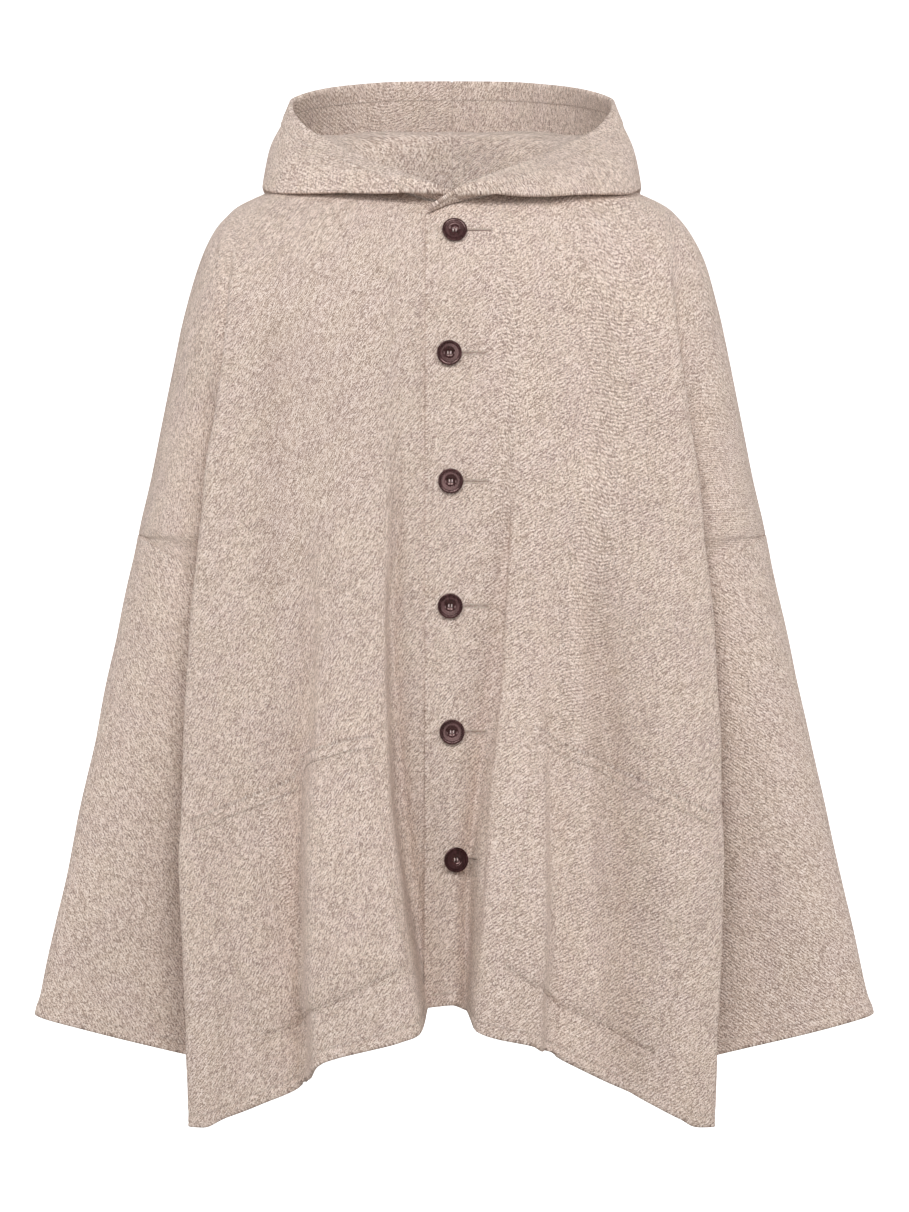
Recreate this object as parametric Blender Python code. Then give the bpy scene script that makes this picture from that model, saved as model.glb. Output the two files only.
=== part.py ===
"""Hooded wool coat, hollow and in its worn shape, with the sleeves hanging at the sides.

Metres, +Z up. The front looks towards -Y and the wearer's left is at +X. The origin is the middle
of the neck opening, level with the neck ends of the shoulder seams.
Each panel is a net of points on the middle of the cloth, thickened to a wall along its normals.
"""

import math
from collections import namedtuple

import bmesh
import bpy
import numpy as np
from mathutils import Vector

# Cloth
WALL = 0.0025
SEAM_GAP = 0.0003
LAP_STEP = 0.0033
OVER_REACH = 0.0215
UNDER_REACH = 0.0145
LAP_SHARES = ((0.0, 1.0), (0.03, 1.0), (0.058, 0.7), (0.076, 0.3), (0.085, 0.0), (0.3, 0.0))
LAP_CORNER_DROP = 0.014

# Neck opening
NECK_HALF_WIDTH = 0.085
NECK_FRONT_DEPTH = 0.078
NECK_BACK_DEPTH = 0.055
NECK_SEAM_RISE = ((0.0, 0.0034), (60.0, 0.0033), (80.0, 0.0031), (100.0, 0.0023), (180.0, 0.0019))

# Chest and back as quarter turns down from the shoulder line
FRONT_DEPTH = 0.104
FRONT_DROP = 0.16
BACK_DEPTH = 0.115
BACK_DROP = 0.17
FRONT_TOP = 0.012
BACK_TOP = 0.0
FLARE = 0.02

# Fold that runs from the shoulder to the hem corner
FOLD_RADIUS = 0.012
FOLD_TUCK = 0.008
FOLD_DEPTH = 0.024
WALL_BOW = 0.009

# Armhole, a flat oval that leans down towards the body
ARM_CENTRE_X = 0.225
ARM_CENTRE_Z = -0.3555
ARM_REACH_X = 0.05
ARM_REACH_Z = 0.0295
ARM_DEPTH = 0.058

# Side seam
SIDE_SEAM_HEM_Z = -0.81
SIDE_SEAM_LINE = ((-0.388, 0.156), (-0.45, 0.150), (-0.58, 0.151), (-0.70, 0.157), (-0.81, 0.164))

# Sleeve
CUFF_CENTRE = (0.2755, 0.0, -0.7665)
CUFF_REACH_X = 0.0885
CUFF_REACH_Z = 0.0215
CUFF_DEPTH = 0.044
SLEEVE_SIDES = 16
SLEEVE_RINGS = 9
ARMHOLE_ROWS = SLEEVE_SIDES // 2

# Buttons
BUTTON_RADIUS = 0.0105
BUTTON_PLACES = (
    (0.002, -0.0655),
    (-0.0025, -0.171),
    (-0.001, -0.281),
    (-0.0015, -0.388),
    (0.0, -0.496),
    (0.0025, -0.605),
)

MM = 0.001
LEVELS = (0.0, -0.20, -0.39, -0.55, -0.66, -0.80)

# A line runs down a panel: its distance from the centre and how far it stands forward of the plain
# form, in millimetres at each of the six levels, and the height of the hem on it.
Line = namedtuple("Line", "name across rise hem")
FRONT_RIGHT_LINES = (
    Line("centre", (0, 0, 0, 0, 0, 0), (0, 0, 0, 0, -2, -4), -728),
    Line("crease", (30, 42, 44, 37, 28, 23), (0, 0, -1, -3, -5, -6), -731),
    Line("wall", (58, 62, 59, 50, 40, 33), (0, 1, 6, 17, 28, 37), -751),
    Line("crest", (76, 84, 85, 80, 73, 64), (0, 2, 8, 20, 31, 40), -762),
    Line("step top", (85, 106, 109, 113, 112, 110), (0, 2, 7, 19, 30, 36), -777),
    Line("step base", (105, 128, 125, 131, 130, 128), (0, 1, 1, 2, 3, 4), -797),
    Line("face", (130, 152, 160, 166, 167, 165), (0, -2, 0, 3, 3, 1), -814),
    Line("outer", (154, 174, 190, 200, 201, 197), (0, 0, 2, 3, 3, 1), -827),
)
FRONT_LEFT_LINES = (
    Line("centre", (0, 0, 0, 0, 0, 0), (0, 0, 0, 0, -2, -4), -728),
    Line("crease", (30, 40, 38, 27, 19, 16), (0, 0, -2, -4, -6, -6), -733),
    Line("wall", (58, 58, 53, 41, 32, 27), (0, 2, 8, 21, 32, 39), -749),
    Line("crest", (76, 76, 69, 57, 50, 46), (0, 3, 9, 22, 34, 41), -754),
    Line("step top", (85, 94, 85, 75, 71, 69), (0, 2, 8, 19, 29, 35), -762),
    Line("step base", (105, 116, 104, 89, 86, 83), (0, 1, 2, 5, 10, 14), -772),
    Line("face", (130, 148, 132, 142, 150, 158), (0, -1, -4, -5, -5, -3), -807),
    Line("outer", (154, 174, 186, 196, 200, 199), (0, 1, 3, 5, 5, 3), -828),
)
BACK_LINES = (
    Line("centre", (0, 0, 0, 0, 0, 0), (0, 0, 2, 6, 9, 12), -736),
    Line("crease", (30, 30, 31, 32, 32, 32), (0, 0, -1, -2, -2, -2), -742),
    Line("wall", (58, 58, 60, 62, 62, 62), (0, 0, 3, 9, 14, 18), -752),
    Line("crest", (76, 82, 84, 86, 86, 86), (0, 1, 5, 14, 20, 25), -763),
    Line("step top", (85, 106, 108, 112, 113, 113), (0, 1, 3, 9, 13, 16), -776),
    Line("step base", (105, 130, 133, 138, 140, 140), (0, 0, -1, -2, -3, -4), -792),
    Line("face", (130, 152, 162, 168, 170, 170), (0, 0, 2, 4, 5, 6), -810),
    Line("outer", (154, 174, 190, 200, 203, 200), (0, 0, 2, 3, 3, 3), -824),
)
FOLD_LINE = (
    (0.0, 0.180),
    (-0.05, 0.185),
    (-0.10, 0.190),
    (-0.165, 0.198),
    (-0.225, 0.205),
    (-0.28, 0.213),
    (-0.335, 0.2195),
    (-0.39, 0.2245),
    (-0.50, 0.231),
    (-0.60, 0.2345),
    (-0.66, 0.232),
    (-0.72, 0.229),
    (-0.80, 0.226),
)
FOLD_HEM_Z = -0.8345
SHOULDER_LINE = (
    (0.085, 0.0),
    (0.12, -0.0095),
    (0.15, -0.0195),
    (0.171, -0.029),
    (0.185, -0.038),
    (0.195, -0.046),
)

# A row crosses a panel: its level, the share of the quarter turn from the shoulder line, the place
# of its outer end, and the place of the tuck between body and arm. Rows down to the underarm.
Row = namedtuple("Row", "level turn edge_x edge_z tuck_x tuck_y tuck_z")
UPPER_ROWS = (
    Row(0.0, 0.0, 0.195, -0.046, 0.188, 0.0, -0.0405),
    Row(-0.045, 0.24, 0.2095, -0.066, 0.203, 0.030, -0.066),
    Row(-0.085, 0.48, 0.2215, -0.090, 0.207, 0.046, -0.090),
    Row(-0.125, 0.73, 0.234, -0.132, 0.209, 0.056, -0.132),
    Row(-0.165, 1.0, 0.2445, -0.180, 0.206, 0.060, -0.180),
    Row(-0.225, 1.0, 0.2545, -0.228, 0.198, 0.058, -0.228),
    Row(-0.275, 1.0, 0.264, -0.276, 0.189, 0.051, -0.276),
    Row(-0.326, 1.0, 0.275, -0.326, 0.181, 0.042, -0.326),
)
# The tuck beside the sleeve, as level, x, y and z: rows end on the armhole from its top to the
# underarm, one for each side of half a sleeve.
ARMHOLE_TUCK = (
    (-0.326, 0.181, 0.042, -0.326),
    (-0.339, 0.177, 0.036, -0.337),
    (-0.351, 0.174, 0.031, -0.347),
    (-0.363, 0.171, 0.026, -0.355),
    (-0.374, 0.169, 0.0215, -0.3615),
    (-0.385, 0.167, 0.017, -0.3665),
    (-0.396, 0.1655, 0.0135, -0.370),
)
# The turn from the sleeve's inner side over to the side seam, and the side seam's first row.
UNDERARM_ROWS = (
    Row(-0.408, 1.0, 0.1655, -0.3745, 0.1635, 0.011, -0.3750),
    Row(-0.422, 1.0, 0.156, -0.388, 0.159, 0.0155, -0.3885),
)
LOWER_SHARES = (0.14, 0.30, 0.46, 0.62, 0.77, 0.90, 1.0)
SMOOTH_SHARES = (0.0, 0.09, 0.18, 0.27, 0.37, 0.48, 0.61, 0.74, 0.87, 1.0)
WALL_SHARES = (0.26, 0.48, 0.65, 0.78, 0.88, 0.95, 1.0)

# A station crosses the hood from the neck seam to the rim, in millimetres. The angle is that of
# the station's foot on the neck opening, from the centre front round to the centre back.
Station = namedtuple("Station", "angle rise roll drop fold heel face rim")
HOOD_STATIONS = (
    Station(
        0, (0, -79, -38), (1, -81, -37), (1, -82, -36), (1, -83, -35),
        (2, -84, -34), (2, -85, -33), (2, -86, -32),
    ),
    Station(
        18, (27, -76, -32), (28, -80, -29), (28, -85, -29), (29, -88, -31),
        (29, -90, -30), (29, -88, -26), (27, -82, -21),
    ),
    Station(
        38, (53, -63, -21), (56, -71, -18), (59, -79, -23), (60, -83, -33),
        (62, -86, -30), (63, -81, -20), (58, -65, -9),
    ),
    Station(
        60, (78, -40, -2), (87, -50, -1), (96, -61, -12), (101, -70, -30),
        (106, -72, -27), (106, -61, -9), (92, -35, 8),
    ),
    Station(
        78, (94, -17, 12), (111, -22, 11), (132, -30, -2), (149, -38, -23),
        (154, -37, -19), (149, -22, 7), (131, 0, 34),
    ),
    Station(
        90, (98, 2, 17), (120, 3, 19), (144, 4, 8), (159, 4, -12),
        (163, 6, -8), (156, 16, 22), (142, 30, 54),
    ),
    Station(
        104, (97, 18, 22), (119, 24, 29), (142, 34, 16), (158, 42, -16),
        (163, 47, -12), (156, 54, 24), (141, 62, 65),
    ),
    Station(
        122, (84, 36, 28), (101, 52, 37), (121, 72, 12), (139, 92, -46),
        (147, 100, -41), (143, 104, 16), (121, 98, 78),
    ),
    Station(
        142, (60, 53, 33), (71, 72, 42), (83, 98, 4), (95, 128, -84),
        (103, 140, -78), (104, 148, 6), (85, 128, 87),
    ),
    Station(
        162, (29, 61, 37), (36, 79, 43), (42, 106, 0), (46, 146, -112),
        (52, 160, -105), (55, 172, -2), (44, 144, 93),
    ),
    Station(
        180, (0, 63, 38), (0, 81, 43), (0, 108, -2), (0, 152, -122),
        (0, 166, -115), (0, 180, -5), (0, 149, 94),
    ),
)
# The end of the left half, which laps over the right one at the centre front, in millimetres
# from the top corner of the left front.
LAP_END = (
    (0.5, -1.5, 3.2),
    (1, -2, 4),
    (1.5, -2.5, 4.5),
    (2, -3, 5),
    (2.5, -3.5, 5.7),
    (3, -4, 6.3),
    (4, -4.5, 7.5),
)
LAP_LIFT = (0.0, -0.0051, 0.0012)
HOOD_COLUMNS = 17
HOOD_STEPS = 2

# Pockets: outlines seen from the front, in millimetres from the centre line and up, and how far
# back a pocket may reach round the fold, in metres.
POCKET_LIMIT_Y = -0.083
RIGHT_POCKET = (
    (-68, -499), (-93, -503), (-115, -511), (-128, -520), (-138, -537), (-168, -549), (-195, -560),
    (-224, -572), (-163, -757), (-132, -747), (-120, -734), (-96, -723), (-38, -694),
)
LEFT_POCKET = (
    (71, -491), (92, -505), (127, -521), (180, -545), (229, -571), (174, -772),
    (125, -746), (90, -729), (76, -715), (44, -694),
)

CLOTH_COLOUR = (0.62, 0.50, 0.43, 1.0)
BUTTON_COLOUR = (0.06, 0.03, 0.035, 1.0)


def between(table, at):
    """The value at one place of a table of (place, value) pairs, along a smooth curve."""
    places = np.array([row[0] for row in table], float)
    values = np.array([row[1:] for row in table], float)
    if places[0] > places[-1]:
        places, at = -places, -at
    return curve_at(places, values, np.array([at]))[0]


def curve_at(places, values, at):
    """Values at rising places on a cubic through the table's own points, with no overshoot."""
    steps = np.diff(places)
    slopes = np.diff(values, axis=0) / steps[:, None]
    before, after = slopes[:-1], slopes[1:]
    product = before * after
    total = np.where(np.abs(before + after) < 1e-12, 1.0, before + after)
    inner = np.where(product > 0, 2 * product / total, 0.0)
    ends = np.vstack([slopes[:1], inner, slopes[-1:]])
    cell = np.clip(np.searchsorted(places, at, side="right") - 1, 0, len(steps) - 1)
    width = steps[cell]
    t = (np.clip(at, places[0], places[-1]) - places[cell]) / width
    t, width = t[:, None], width[:, None]
    return (
        values[cell] * (1 + 2 * t) * (1 - t) ** 2
        + ends[cell] * width * t * (1 - t) ** 2
        + values[cell + 1] * t**2 * (3 - 2 * t)
        - ends[cell + 1] * width * t**2 * (1 - t)
    )


def smooth_step(low, high, at):
    """0 before low, 1 after high, and a soft change between them."""
    share = min(1.0, max(0.0, (at - low) / (high - low)))
    return share * share * (3 - 2 * share)


def across_at(line, level):
    """Distance of a line from the centre at a level, in metres."""
    return between(tuple(zip(LEVELS, line.across)), level)[0] * MM


def rise_at(line, level):
    """How far a line stands forward of the plain form at a level, in metres."""
    return between(tuple(zip(LEVELS, line.rise)), level)[0] * MM


def fold_x(level):
    return between(FOLD_LINE, level)[0]


class Side:
    """The sizes that differ between the front and the back of the body."""

    def __init__(self, facing, depth, drop, top, neck_depth):
        self.facing = facing
        self.depth = depth
        self.drop = drop
        self.top = top
        self.neck_depth = neck_depth

    def reach(self, x):
        """How far the plain form stands from the shoulder line at its fullest."""
        return self.depth * (1 - 0.15 * (x / 0.2) ** 2)

    def fall(self, x):
        """How far below the shoulder line the plain form is fullest."""
        return self.drop * (1 - 0.19 * (x / 0.18) ** 2)

    def crown(self, x):
        """Height of the shoulder line, carried on over the neck opening."""
        if x >= NECK_HALF_WIDTH:
            return between(SHOULDER_LINE, x)[0]
        return self.top * (1 - (x / NECK_HALF_WIDTH) ** 2)

    def first_turn(self, x):
        """The angle at which the cloth starts: 0 at the shoulder seam, more at the neck opening."""
        if x >= NECK_HALF_WIDTH:
            return 0.0
        reach = self.neck_depth * math.sqrt(1 - (x / NECK_HALF_WIDTH) ** 2)
        return math.asin(reach / self.reach(x))

    def form(self, x, row, level):
        """(depth, height) of the plain form on a row, with the height None below the turn."""
        if row.turn < 1.0:
            angle = self.first_turn(abs(x))
            angle += (math.pi / 2 - angle) * row.turn
            height = self.crown(abs(x)) - self.fall(abs(x)) * (1 - math.cos(angle))
            return self.reach(x) * math.sin(angle), height
        return self.reach(x) + FLARE * max(0.0, -level - 0.165), None


FRONT = Side(-1, FRONT_DEPTH, FRONT_DROP, FRONT_TOP, NECK_FRONT_DEPTH)
BACK = Side(1, BACK_DEPTH, BACK_DROP, BACK_TOP, NECK_BACK_DEPTH)


def arm_oval(centre_x, angle):
    """A point on the oval round the arm, from its outer side at 0 towards the body at pi."""
    return np.array([centre_x + ARM_REACH_X * math.cos(angle), ARM_DEPTH * math.sin(angle)])


def all_rows():
    """Every row of a body panel, as (row, armhole angle or None, share below the underarm)."""
    rows = [(row, None, None) for row in UPPER_ROWS]
    top, foot = ARMHOLE_TUCK[0][0], ARMHOLE_TUCK[-1][0]
    for step in range(1, ARMHOLE_ROWS + 1):
        level = top + (foot - top) * step / ARMHOLE_ROWS
        x, y, z = between(ARMHOLE_TUCK, level)
        angle = math.pi * step / ARMHOLE_ROWS
        edge_x = ARM_CENTRE_X + ARM_REACH_X * math.cos(angle)
        edge_z = ARM_CENTRE_Z + ARM_REACH_Z * math.cos(angle)
        rows.append((Row(level, 1.0, edge_x, edge_z, x, y, z), angle, None))
    rows += [(row, None, None) for row in UNDERARM_ROWS]
    last = UNDERARM_ROWS[-1]
    for share in LOWER_SHARES:
        edge_z = last.edge_z + (SIDE_SEAM_HEM_Z - last.edge_z) * share
        edge_x = between(SIDE_SEAM_LINE, edge_z)[0]
        level = last.level + (LEVELS[-1] - last.level) * share
        rows.append((Row(level, 1.0, edge_x, edge_z, 0.0, 0.0, 0.0), None, share))
    return rows


def lowered(level, hem, share):
    """Height of a row: its level, or from the underarm down to the hem its share of the way."""
    if share is None:
        return level
    start = UNDERARM_ROWS[-1].level
    return start + (hem - start) * share


def face_point(side, line, x, row, share):
    depth, height = side.form(x, row, row.level)
    if height is None:
        height = lowered(row.level, line.hem * MM, share)
    return (x, depth + rise_at(line, row.level), height)


def side_points(side, row, angle, share):
    """The part of a row from the fold at the shoulder round to the side seam or the armhole."""
    full = fold_x(row.level)
    start_x = full - FOLD_RADIUS
    depth, height = side.form(start_x, row, row.level)
    if height is None:
        height = lowered(row.level, FOLD_HEM_Z, share)
    start = np.array([start_x, depth, height])
    edge_y = ARM_DEPTH * math.sin(angle) if angle else 0.0
    edge = np.array([row.edge_x, edge_y, row.edge_z])
    quarter = [math.pi / 2 * part for part in SMOOTH_SHARES]
    plain = [
        np.array(
            [
                start[0] + (edge[0] - start[0]) * math.sin(turn),
                start[1] * math.cos(turn),
                start[2] + (edge[2] - start[2]) * part,
            ]
        )
        for turn, part in zip(quarter, SMOOTH_SHARES)
    ]
    apex = np.array([full, depth - 0.4 * FOLD_DEPTH, height])
    behind = np.array([full - FOLD_TUCK, depth - FOLD_DEPTH, height])
    folded = [start, apex, behind]
    if share is None:
        tuck = np.array([row.tuck_x, row.tuck_y, row.tuck_z])
        bow = WALL_BOW * smooth_step(0.24, 0.37, -row.level)
        for part in (0.35, 0.7):
            point = behind + (tuck - behind) * part
            folded.append(point + np.array([-0.8, 0.6, 0.0]) * bow * 4 * part * (1 - part))
        folded.append(tuck)
        first = angle or 0.0
        centre_x = ARM_CENTRE_X if angle else row.edge_x - ARM_REACH_X
        last = math.acos(max(-0.866, min(1.0, (tuck[0] - centre_x) / ARM_REACH_X)))
        miss = tuck[:2] - arm_oval(centre_x, last)
        for part in (0.75, 0.5, 0.25):
            flat = arm_oval(centre_x, first + (last - first) * part) + miss * part**2
            folded.append(np.array([*flat, edge[2] + (tuck[2] - edge[2]) * part]))
        folded.append(edge)
    else:
        bend = np.array([edge[0] + 0.016, behind[1] * 0.72, 0.0])
        for part in WALL_SHARES:
            flat = (1 - part) ** 2 * behind + 2 * part * (1 - part) * bend + part**2 * edge
            flat[2] = behind[2] + (edge[2] - behind[2]) * part
            folded.append(flat)
    open_share = smooth_step(0.04, 0.26, -row.level)
    return [a + (b - a) * open_share for a, b in zip(plain, folded)]


def half_net(side, lines, mirror):
    """The net of half a body panel, rows by columns, from the centre line to the outer end."""
    net = []
    for row, angle, share in all_rows():
        points = [face_point(side, line, across_at(line, row.level), row, share) for line in lines]
        points += [tuple(point) for point in side_points(side, row, angle, share)]
        net.append([(mirror * x, side.facing * y, z) for x, y, z in points])
    return np.array(net)


def normals_of(net, turn):
    """Unit normals of a net, from the steps along its rows and columns."""
    along = np.gradient(net, axis=1)
    down = np.gradient(net, axis=0)
    normal = np.cross(along, down) * turn
    return normal / np.linalg.norm(normal, axis=2, keepdims=True)


def flattened(normals, where, axis):
    """Normals with one component taken out on the rows or columns that a seam plane cuts."""
    kept = normals[where]
    kept[..., axis] = 0.0
    normals[where] = kept / np.linalg.norm(kept, axis=-1, keepdims=True)


def wall_mesh(name, net, normals, low=-WALL / 2, high=WALL / 2, closed=False):
    """A wall between two offsets of a net. A closed net joins its last column to its first."""
    rows, columns = net.shape[:2]
    outer = (net + normals * high).reshape(-1, 3)
    inner = (net + normals * low).reshape(-1, 3)
    count = rows * columns
    faces = []

    def at(row, column):
        return row * columns + column % columns

    last = columns if closed else columns - 1
    for row in range(rows - 1):
        for column in range(last):
            a, b = at(row, column), at(row, column + 1)
            c, d = at(row + 1, column + 1), at(row + 1, column)
            faces += [(a, b, c), (a, c, d)]
            faces += [(count + c, count + b, count + a), (count + d, count + c, count + a)]
    rims = [[at(0, c) for c in range(last + 1)], [at(rows - 1, c) for c in range(last, -1, -1)]]
    if not closed:
        rims.append([at(r, 0) for r in range(rows - 1, -1, -1)])
        rims.append([at(r, columns - 1) for r in range(rows)])
    for rim in rims:
        for a, b in zip(rim, rim[1:]):
            faces += [(b, a, count + a), (b, count + a, count + b)]
    mesh = bpy.data.meshes.new(name)
    mesh.from_pydata(np.vstack([outer, inner]).tolist(), [], faces)
    tidy = bmesh.new()
    tidy.from_mesh(mesh)
    bmesh.ops.recalc_face_normals(tidy, faces=tidy.faces)
    if tidy.calc_volume(signed=True) < 0:
        bmesh.ops.reverse_faces(tidy, faces=tidy.faces)
    tidy.to_mesh(mesh)
    tidy.free()
    return mesh


def placed(name, mesh, colour, collection, roughness):
    """Puts a mesh into the collection as an object with a material of its own."""
    obj = bpy.data.objects.new(name, mesh)
    collection.objects.link(obj)
    material = bpy.data.materials.new(name)
    material.use_nodes = True
    shader = material.node_tree.nodes["Principled BSDF"]
    shader.inputs["Base Color"].default_value = colour
    shader.inputs["Roughness"].default_value = roughness
    mesh.materials.append(material)
    mesh.shade_smooth()
    mesh.set_sharp_from_angle(angle=math.radians(40))
    return obj


def lapped(net, own, other, reach):
    """A front net with a column beyond the centre line, so that the two fronts lap."""
    share = reach / abs(other[:, 1:2, 0])
    extra = other[:, :1] + (other[:, 1:2] - other[:, :1]) * share[..., None]
    extra[:, :, 0] = -own * reach
    corner = extra[0, 0]
    angle = math.acos(1 - (FRONT.crown(0.0) - corner[2] + LAP_CORNER_DROP) / FRONT.fall(0.0))
    corner[1:] = -FRONT.reach(0.0) * math.sin(angle), corner[2] - LAP_CORNER_DROP
    return np.concatenate([extra, net], axis=1)


def lap_share(x):
    """How far the left front and the left hood are lifted over the right ones, 1 down to 0."""
    return between(LAP_SHARES, max(0.0, x))[0]


def arm_rows():
    """Numbers of the first and last row that end on the armhole."""
    first = len(UPPER_ROWS) - 1
    return first, first + ARMHOLE_ROWS


def edge_normals(net, normals, mirror):
    """Turns the normals at the seams so that the walls of two pieces meet face to face."""
    first, last = arm_rows()
    for row in range(first, last + 1):
        radial = net[row, -1] - np.array([mirror * ARM_CENTRE_X, 0.0, ARM_CENTRE_Z])
        axis = sleeve_axis(mirror)
        radial -= axis * np.dot(radial, axis)
        normals[row, -1] = radial / np.linalg.norm(radial)
    flattened(normals, (slice(0, first), -1), 1)
    flattened(normals, (slice(last + 1, None), -1), 1)
    neck_columns = [c for c in range(net.shape[1]) if abs(net[0, c, 0]) >= NECK_HALF_WIDTH - 1e-6]
    flattened(normals, (0, neck_columns), 1)


def sleeve_axis(mirror):
    """Direction of the sleeve where it leaves the armhole, square to the armhole's plane."""
    axis = np.array([mirror * ARM_REACH_Z, 0.0, -ARM_REACH_X])
    return axis / np.linalg.norm(axis)


def open_seams(net, side, mirror):
    """Draws the net's edges back by half the seam gap."""
    half = SEAM_GAP / 2
    first, last = arm_rows()
    for row in range(net.shape[0]):
        if first <= row <= last:
            net[row, -1] -= sleeve_axis(mirror) * half
        if row <= first or row >= last:
            net[row, -1, 1] += side.facing * half
    for column in range(net.shape[1] - 1):
        if abs(net[0, column, 0]) >= NECK_HALF_WIDTH - 1e-6:
            net[0, column, 1] += side.facing * half


def front_nets():
    """(net, normals) of the two fronts, the wearer's left one lapped over the right one."""
    right = half_net(FRONT, FRONT_RIGHT_LINES, -1)
    left = half_net(FRONT, FRONT_LEFT_LINES, 1)
    made = {}
    halves = (("right", right, left, -1, UNDER_REACH), ("left", left, right, 1, OVER_REACH))
    for name, own, other, mirror, reach in halves:
        net = lapped(own, mirror, other, reach)
        normals = normals_of(net, -mirror)
        edge_normals(net, normals, mirror)
        open_seams(net, FRONT, mirror)
        made[name] = [net, normals]
    net, normals = made["left"]
    normals[:, 2] = normals[:, 1]
    for column in range(5):
        net[:, column] += normals[:, column] * LAP_STEP * lap_share(net[0, column, 0])
    made["right"][1][:, 0] = made["right"][1][:, 1]
    return made


def back_net():
    left = half_net(BACK, BACK_LINES, 1)
    right = half_net(BACK, BACK_LINES, -1)
    left_normals = normals_of(np.concatenate([right[:, 1:2], left], axis=1), 1)[:, 1:]
    right_normals = normals_of(np.concatenate([left[:, 1:2], right], axis=1), -1)[:, 1:]
    for net, normals, mirror in ((left, left_normals, 1), (right, right_normals, -1)):
        edge_normals(net, normals, mirror)
        open_seams(net, BACK, mirror)
    net = np.concatenate([right[:, :0:-1], left], axis=1)
    normals = np.concatenate([right_normals[:, :0:-1], left_normals], axis=1)
    return net, normals


def sleeve_net(mirror):
    """Rings from the armhole to the cuff, each an oval that grows wider and flatter."""
    start = np.array([ARM_CENTRE_X, 0.0, ARM_CENTRE_Z])
    end = np.array(CUFF_CENTRE)
    net = []
    normals = []
    for ring in range(SLEEVE_RINGS + 1):
        share = ring / SLEEVE_RINGS
        centre = start + (end - start) * share
        reach_x = ARM_REACH_X + (CUFF_REACH_X - ARM_REACH_X) * share
        reach_z = ARM_REACH_Z + (CUFF_REACH_Z - ARM_REACH_Z) * share
        depth = ARM_DEPTH + (CUFF_DEPTH - ARM_DEPTH) * smooth_step(0.0, 1.0, share)
        row, outward = [], []
        for side in range(SLEEVE_SIDES):
            angle = 2 * math.pi * side / SLEEVE_SIDES
            across, back = math.cos(angle), -math.sin(angle)
            offset = np.array([reach_x * across, depth * back, reach_z * across])
            normal = np.array([across / reach_x, back / depth, 0.0])
            row.append((centre + offset) * (mirror, 1, 1))
            outward.append(normal * (mirror, 1, 1))
        net.append(row)
        normals.append(outward)
    net, normals = np.array(net), np.array(normals)
    axis = sleeve_axis(mirror)
    normals -= (normals @ axis)[..., None] * axis
    normals /= np.linalg.norm(normals, axis=2, keepdims=True)
    net[0] += axis * SEAM_GAP / 2
    return net, normals


def neck_edge(net, mirror):
    """The neckline of half a panel, from the centre line to the neck end of the shoulder seam."""
    edge = net[0] * (mirror, 1, 1)
    edge = edge[edge[:, 0] > -0.004]
    edge = edge[np.argsort(edge[:, 0])]
    return edge[: int(np.searchsorted(edge[:, 0], NECK_HALF_WIDTH - 1e-6)) + 1]


def neck_point(angle, front_edge, back_edge):
    """A point on the neck opening, from the centre front at 0 to the centre back at pi."""
    x = NECK_HALF_WIDTH * math.sin(angle)
    edge = front_edge if math.cos(angle) >= 0 else back_edge
    return np.array([x, np.interp(x, edge[:, 0], edge[:, 1]), np.interp(x, edge[:, 0], edge[:, 2])])


def hood_column(angle, foot, points):
    """The points of a column of the hood, from just above its foot on the neck opening."""
    toward = points[0] - foot
    rise = between(NECK_SEAM_RISE, angle)[0]
    return [foot + toward / np.linalg.norm(toward) * rise, *points]


def hood_net(mirror, front_edge, back_edge, corner):
    """The net of half a hood, stations by steps from the neck seam to the rim."""
    angles = np.array([float(station.angle) for station in HOOD_STATIONS])
    flat = np.array([np.ravel(station[1:]) for station in HOOD_STATIONS]) * MM
    at = np.linspace(0.0, 180.0, HOOD_COLUMNS)
    points = curve_at(angles, flat, at).reshape(len(at), -1, 3)
    feet = [neck_point(math.radians(angle), front_edge, back_edge) for angle in at]
    if mirror > 0:
        for angle, column in zip(at, points):
            share = lap_share(NECK_HALF_WIDTH * math.sin(math.radians(angle))) if angle < 90 else 0.0
            column += np.array(LAP_LIFT) * share
        points = np.concatenate([[corner + np.array(LAP_END) * MM], points])
        feet.insert(0, corner)
        at = np.concatenate([at[:1], at])
    stations = np.array([hood_column(*parts) for parts in zip(at, feet, points)])
    steps = stations.shape[1]
    along = np.arange(steps, dtype=float)
    fine = np.linspace(0, steps - 1, (steps - 1) * HOOD_STEPS + 1)
    net = np.array([curve_at(along, station, fine) for station in stations])
    return net * (mirror, 1, 1)


def build_hood(fronts, back, collection):
    for name, mirror in (("left", 1), ("right", -1)):
        front = fronts[name][0]
        net = hood_net(mirror, neck_edge(front, mirror), neck_edge(back, mirror), front[0, 0])
        name = "hood_" + name
        normals = normals_of(net, mirror)
        flattened(normals, (-1,), 0)
        net[-1, :, 0] += mirror * SEAM_GAP / 2
        placed(name, wall_mesh(name, net, normals), CLOTH_COLOUR, collection, 0.95)


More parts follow.
